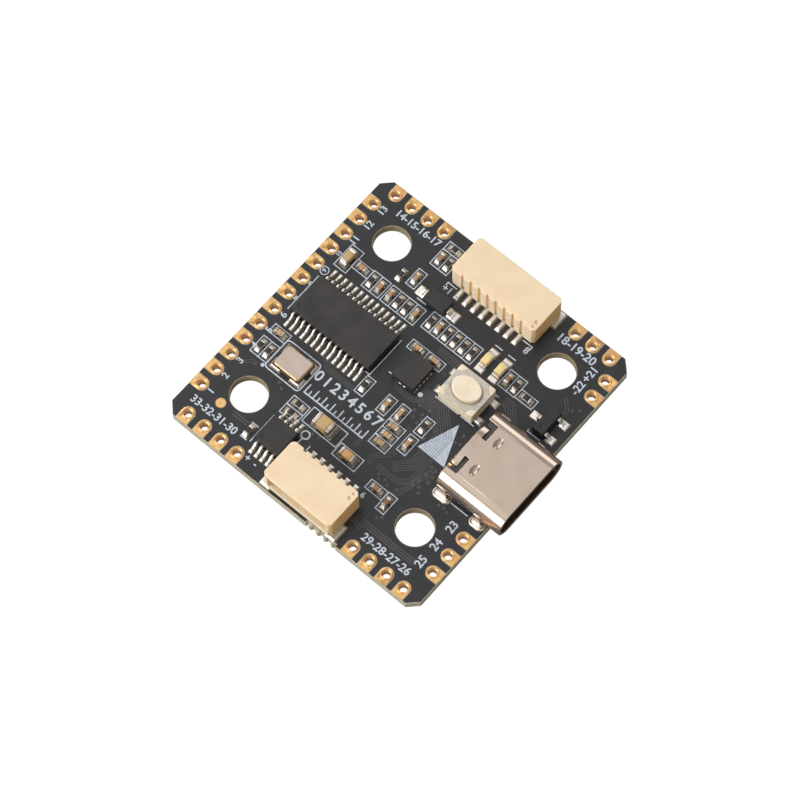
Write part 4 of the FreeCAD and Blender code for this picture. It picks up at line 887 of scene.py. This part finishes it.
def clipped_line(points, outline):
    """The stretch of a flat line that lies inside a convex clockwise outline, or None."""
    inside = []
    for start, end in zip(points, points[1:]):
        low, high = 0.0, 1.0
        run = (end[0] - start[0], end[1] - start[1])
        for corner, after in zip(outline, outline[1:] + outline[:1]):
            side = (after[0] - corner[0], after[1] - corner[1])
            here = side[1] * (start[0] - corner[0]) - side[0] * (start[1] - corner[1])
            change = side[1] * run[0] - side[0] * run[1]
            if abs(change) < 1e-9:
                if here < 0:
                    high = -1.0
            elif change > 0:
                low = max(low, -here / change)
            else:
                high = min(high, -here / change)
        if high - low > 1e-3:
            first = (start[0] + run[0] * low, start[1] + run[1] * low)
            last = (start[0] + run[0] * high, start[1] + run[1] * high)
            if not inside:
                inside.append(first)
            inside.append(last)
    return inside if len(inside) > 1 else None


def make_direction_mark(ink, thin_ink):
    """Solid triangle that points forward. The copper lines beneath it show through as ridges."""
    shape = bmesh.new()
    add_slab(shape, DIRECTION_MARK, MASK_TOP, TRACE_RISE + INK_RISE)
    new_piece("direction_mark", shape, ink)
    ridges = bmesh.new()
    level = MASK_TOP + TRACE_RISE + INK_RISE
    for points, count, pitch, width in BUNDLES_TOP[:2]:
        for index in range(count):
            line = clipped_line(moved_line(points, index * pitch), list(DIRECTION_MARK))
            if line:
                add_ribbon(ridges, line, width * MARK_RIDGE_WIDTH_SHARE, level, MARK_RIDGE_RISE)
    new_piece("direction_mark_ridges", ridges, thin_ink)


# ======== rims of the wire holes ========

def wire_hole_centre(low, high):
    """A wire pad's hole lies half a pad width from the pad's inner end."""
    middle = (low + high) / 2
    half = min(high.x - low.x, high.y - low.y) / 2
    if high.x - low.x > high.y - low.y:
        return (high.x - half if middle.x < 0 else low.x + half, middle.y)
    return (middle.x, high.y - half if middle.y < 0 else low.y + half)


def make_wire_hole_rims(material):
    """Plating that swells round the mouth of each wire hole, on both faces."""
    shape = bmesh.new()
    for low, high in solid_boxes("edge_pads"):
        x, y = wire_hole_centre(low, high)
        for level, side in ((high.z, 1), (low.z, -1)):
            add_turned_ring(shape, x, y, [(radius, level + side * rise) for radius, rise in WIRE_HOLE_RIM])
    new_piece("wire_hole_rims", shape, material)


# ======== solder ========

def distance_to(x, y, rectangle):
    low_x, low_y, high_x, high_y = rectangle
    return math.hypot(max(low_x - x, 0, x - high_x), max(low_y - y, 0, y - high_y))


def add_solder(shape, pad, metals, level, side):
    """Solder over one pad that climbs the metal on it. side is 1 for the top face and -1 underneath."""
    low, high = pad
    counts = [max(4, math.ceil((high[axis] - low[axis]) / SOLDER_CELL)) for axis in (0, 1)]
    rows = []
    for row in range(counts[1] + 1):
        y = low.y + (high.y - low.y) * row / counts[1]
        line = []
        for column in range(counts[0] + 1):
            x = low.x + (high.x - low.x) * column / counts[0]
            rim = min(x - low.x, high.x - x, y - low.y, high.y - y)
            swell = math.sqrt(min(1.0, rim / SOLDER_EDGE)) if rim > 0 else 0.0
            height = SOLDER_SKIN * swell
            for rectangle, climb in metals:
                reach = SOLDER_REACH_LEAST + SOLDER_REACH_SHARE * climb
                fall = math.exp(-distance_to(x, y, rectangle) / reach)
                height = max(height, climb * fall * min(1.0, rim / CLIMB_EDGE))
            line.append(shape.verts.new((x, y, level + side * height)))
        rows.append(line)
    for near, far in zip(rows, rows[1:]):
        for index in range(counts[0]):
            shape.faces.new((near[index], near[index + 1], far[index + 1], far[index])).smooth = True
    rim_loop = rows[0] + [line[-1] for line in rows[1:-1]] + rows[-1][::-1]
    rim_loop += [line[0] for line in rows[1:-1]][::-1]
    shape.faces.new(rim_loop)


def make_solder_joints(name, pads_node, climbs, side, material):
    metals = []
    for node, climb in climbs.items():
        for low, high in solid_boxes(node):
            metals.append(((low.x, low.y, high.x, high.y), climb))
    shape = bmesh.new()
    for low, high in solid_boxes(pads_node):
        standing = []
        for rectangle, climb in metals:
            clear_x = rectangle[0] > high.x or rectangle[2] < low.x
            clear_y = rectangle[1] > high.y or rectangle[3] < low.y
            if not clear_x and not clear_y:
                standing.append((rectangle, climb))
        level = high.z if side > 0 else low.z
        add_solder(shape, (low, high), standing, level - side * 0.001, side)
    new_piece(name, shape, material)


def oval_points(x, y, length, width, inset, steps=10):
    """Points of an oval that is longer along X, anticlockwise."""
    radius = width / 2 - inset
    half = (length - width) / 2
    points = []
    for step in range(steps + 1):
        turn = -math.pi / 2 + math.pi * step / steps
        points.append((x + half + radius * math.cos(turn), y + radius * math.sin(turn)))
    for step in range(steps + 1):
        turn = math.pi / 2 + math.pi * step / steps
        points.append((x - half + radius * math.cos(turn), y + radius * math.sin(turn)))
    return points


def make_leg_collars(material):
    """Solder that climbs from each collar to the USB shell's leg."""
    shape = bmesh.new()
    for low, high in solid_boxes("usb_leg_solder"):
        for level, side in ((high.z, 1), (low.z, -1)):
            centre = (low + high) / 2
            rings = []
            for inset, rise in COLLAR_OUTLINE:
                points = oval_points(centre.x, centre.y, high.x - low.x, high.y - low.y, inset)
                height = level - side * 0.002 + side * rise
                rings.append([shape.verts.new((x, y, height)) for x, y in points])
            for near, far in zip(rings, rings[1:]):
                for index in range(len(near)):
                    after = (index + 1) % len(near)
                    shape.faces.new((near[index], near[after], far[after], far[index])).smooth = True
            shape.faces.new(rings[0])
            shape.faces.new(rings[-1])
    new_piece("usb_leg_fillets", shape, material)


# ======== camera, floor and light ========

def make_camera():
    azimuth, elevation, roll = (math.radians(angle) for angle in (VIEW_AZIMUTH, VIEW_ELEVATION, VIEW_ROLL))
    back = Vector((math.sin(azimuth) * math.cos(elevation), -math.cos(azimuth) * math.cos(elevation),
                   math.sin(elevation)))
    level = Vector((math.cos(azimuth), math.sin(azimuth), 0))
    upright = back.cross(level)
    right = level * math.cos(roll) + upright * math.sin(roll)
    up = upright * math.cos(roll) - level * math.sin(roll)
    target = Vector((*VIEW_TARGET, MASK_TOP))
    camera = bpy.data.objects.new("camera", bpy.data.cameras.new("camera"))
    camera.data.lens = LENS
    camera.data.clip_start = 0.01
    camera.data.clip_end = 20.0
    turn = Matrix((right, up, back)).transposed().to_4x4()
    camera.matrix_world = Matrix.Translation((target + back * VIEW_DISTANCE) * MM) @ turn
    bpy.context.scene.collection.objects.link(camera)
    bpy.context.scene.camera = camera


def make_floor():
    """Wide white floor just under the board's lowest part. Next to none of its light reaches the board."""
    shape = bmesh.new()
    level = CAD_BOX[0].z / MM - FLOOR_GAP
    corners = [(-FLOOR_HALF, -FLOOR_HALF), (FLOOR_HALF, -FLOOR_HALF), (FLOOR_HALF, FLOOR_HALF),
               (-FLOOR_HALF, FLOOR_HALF)]
    shape.faces.new([shape.verts.new((x, y, level)) for x, y in corners])
    shape.transform(Matrix.Scale(MM, 4))
    mesh = bpy.data.meshes.new("floor")
    shape.to_mesh(mesh)
    shape.free()
    material = bpy.data.materials.new("floor")
    material.use_nodes = True
    shader = material.node_tree.nodes["Principled BSDF"]
    shader.inputs["Base Color"].default_value = FLOOR_COLOUR
    shader.inputs["Roughness"].default_value = 1.0
    shader.inputs["Specular IOR Level"].default_value = 0.0
    shader.inputs["Emission Color"].default_value = (1, 1, 1, 1)
    shader.inputs["Emission Strength"].default_value = FLOOR_GLOW
    mesh.materials.append(material)
    floor = bpy.data.objects.new("floor", mesh)
    floor.visible_diffuse = False
    floor.visible_glossy = False
    floor.visible_shadow = False
    bpy.context.scene.collection.objects.link(floor)


def add_softbox(name, direction, distance, width, height, radiance):
    """Rectangular lamp that faces the middle of the board, from a direction."""
    away = Vector(direction).normalized()
    lamp = bpy.data.objects.new(name, bpy.data.lights.new(name, "AREA"))
    lamp.data.shape = "RECTANGLE"
    lamp.data.size = width * MM
    lamp.data.size_y = height * MM
    lamp.data.energy = radiance * math.pi * width * height * MM * MM
    lamp.location = away * distance * MM
    lamp.rotation_mode = "QUATERNION"
    lamp.rotation_quaternion = away.to_track_quat("Z", "Y")
    bpy.context.scene.collection.objects.link(lamp)


def make_surroundings():
    """Soft studio surroundings: pale above, darker below, and brighter on the side of the key lamp."""
    world = bpy.data.worlds.new("studio")
    bpy.context.scene.world = world
    world.use_nodes = True
    tree = world.node_tree
    backdrop = tree.nodes["Background"]
    place = tree.nodes.new("ShaderNodeTexCoord")
    split = tree.nodes.new("ShaderNodeSeparateXYZ")
    toward_key = tree.nodes.new("ShaderNodeVectorMath")
    bands = tree.nodes.new("ShaderNodeValToRGB")
    toward_key.operation = "DOT_PRODUCT"
    toward_key.inputs[1].default_value = Vector((*BRIGHT_SIDE, 0)).normalized()
    tree.links.new(place.outputs["Generated"], split.inputs["Vector"])
    tree.links.new(place.outputs["Generated"], toward_key.inputs[0])
    while len(bands.color_ramp.elements) < len(SURROUNDINGS):
        bands.color_ramp.elements.new(0.5)
    for stop, (height, colour) in zip(bands.color_ramp.elements, SURROUNDINGS):
        stop.position = (height + 1) / 2
        stop.color = linear(colour)
    tree.links.new(ranged(tree, split.outputs["Z"], 0.0, 1.0, -1.0, 1.0), bands.inputs["Fac"])
    tree.links.new(bands.outputs["Color"], backdrop.inputs["Color"])
    side = ranged(tree, toward_key.outputs["Value"], *SIDE_STRENGTH, -1.0, 1.0)
    tree.links.new(side, backdrop.inputs["Strength"])


def make_light():
    make_surroundings()
    for name, settings in SOFTBOXES.items():
        add_softbox(name, *settings)


def set_colour_handling():
    """Plain display colours, so that white surroundings stay white."""
    bpy.context.scene.view_settings.view_transform = "Standard"
    bpy.context.scene.view_settings.look = "None"


def build():
    draw = random.Random(VIA_SEED)
    set_colour_handling()
    make_camera()
    make_floor()
    make_light()
    materials = make_slot_materials()
    ink = plastic_finish("silkscreen_ink", ((178, 188, 200), (196, 204, 214)), (0.5, 0.7), 0.4, 0.05, 0.003)
    thin_ink = plastic_finish("thin_ink", ((112, 124, 137), (130, 141, 153)), (0.5, 0.7), 0.4, 0.05, 0.003)
    copper = mask_finish("mask_over_copper", ((66, 65, 67), (76, 74, 75)))
    finish_cad_nodes(materials)
    make_top_copper(copper, draw)
    make_top_ink(ink)
    make_underside_copper(copper, draw)
    make_underside_ink(ink)
    make_direction_mark(ink, thin_ink)
    make_solder_joints("solder_joints_top", "solder_pads_top", SOLDER_ON_TOP, 1, materials["solder"])
    make_solder_joints("solder_joints_underside", "solder_pads_underside", SOLDER_UNDERNEATH, -1,
                       materials["solder"])
    make_leg_collars(materials["solder"])
    make_wire_hole_rims(materials["gold_plating"])


build()
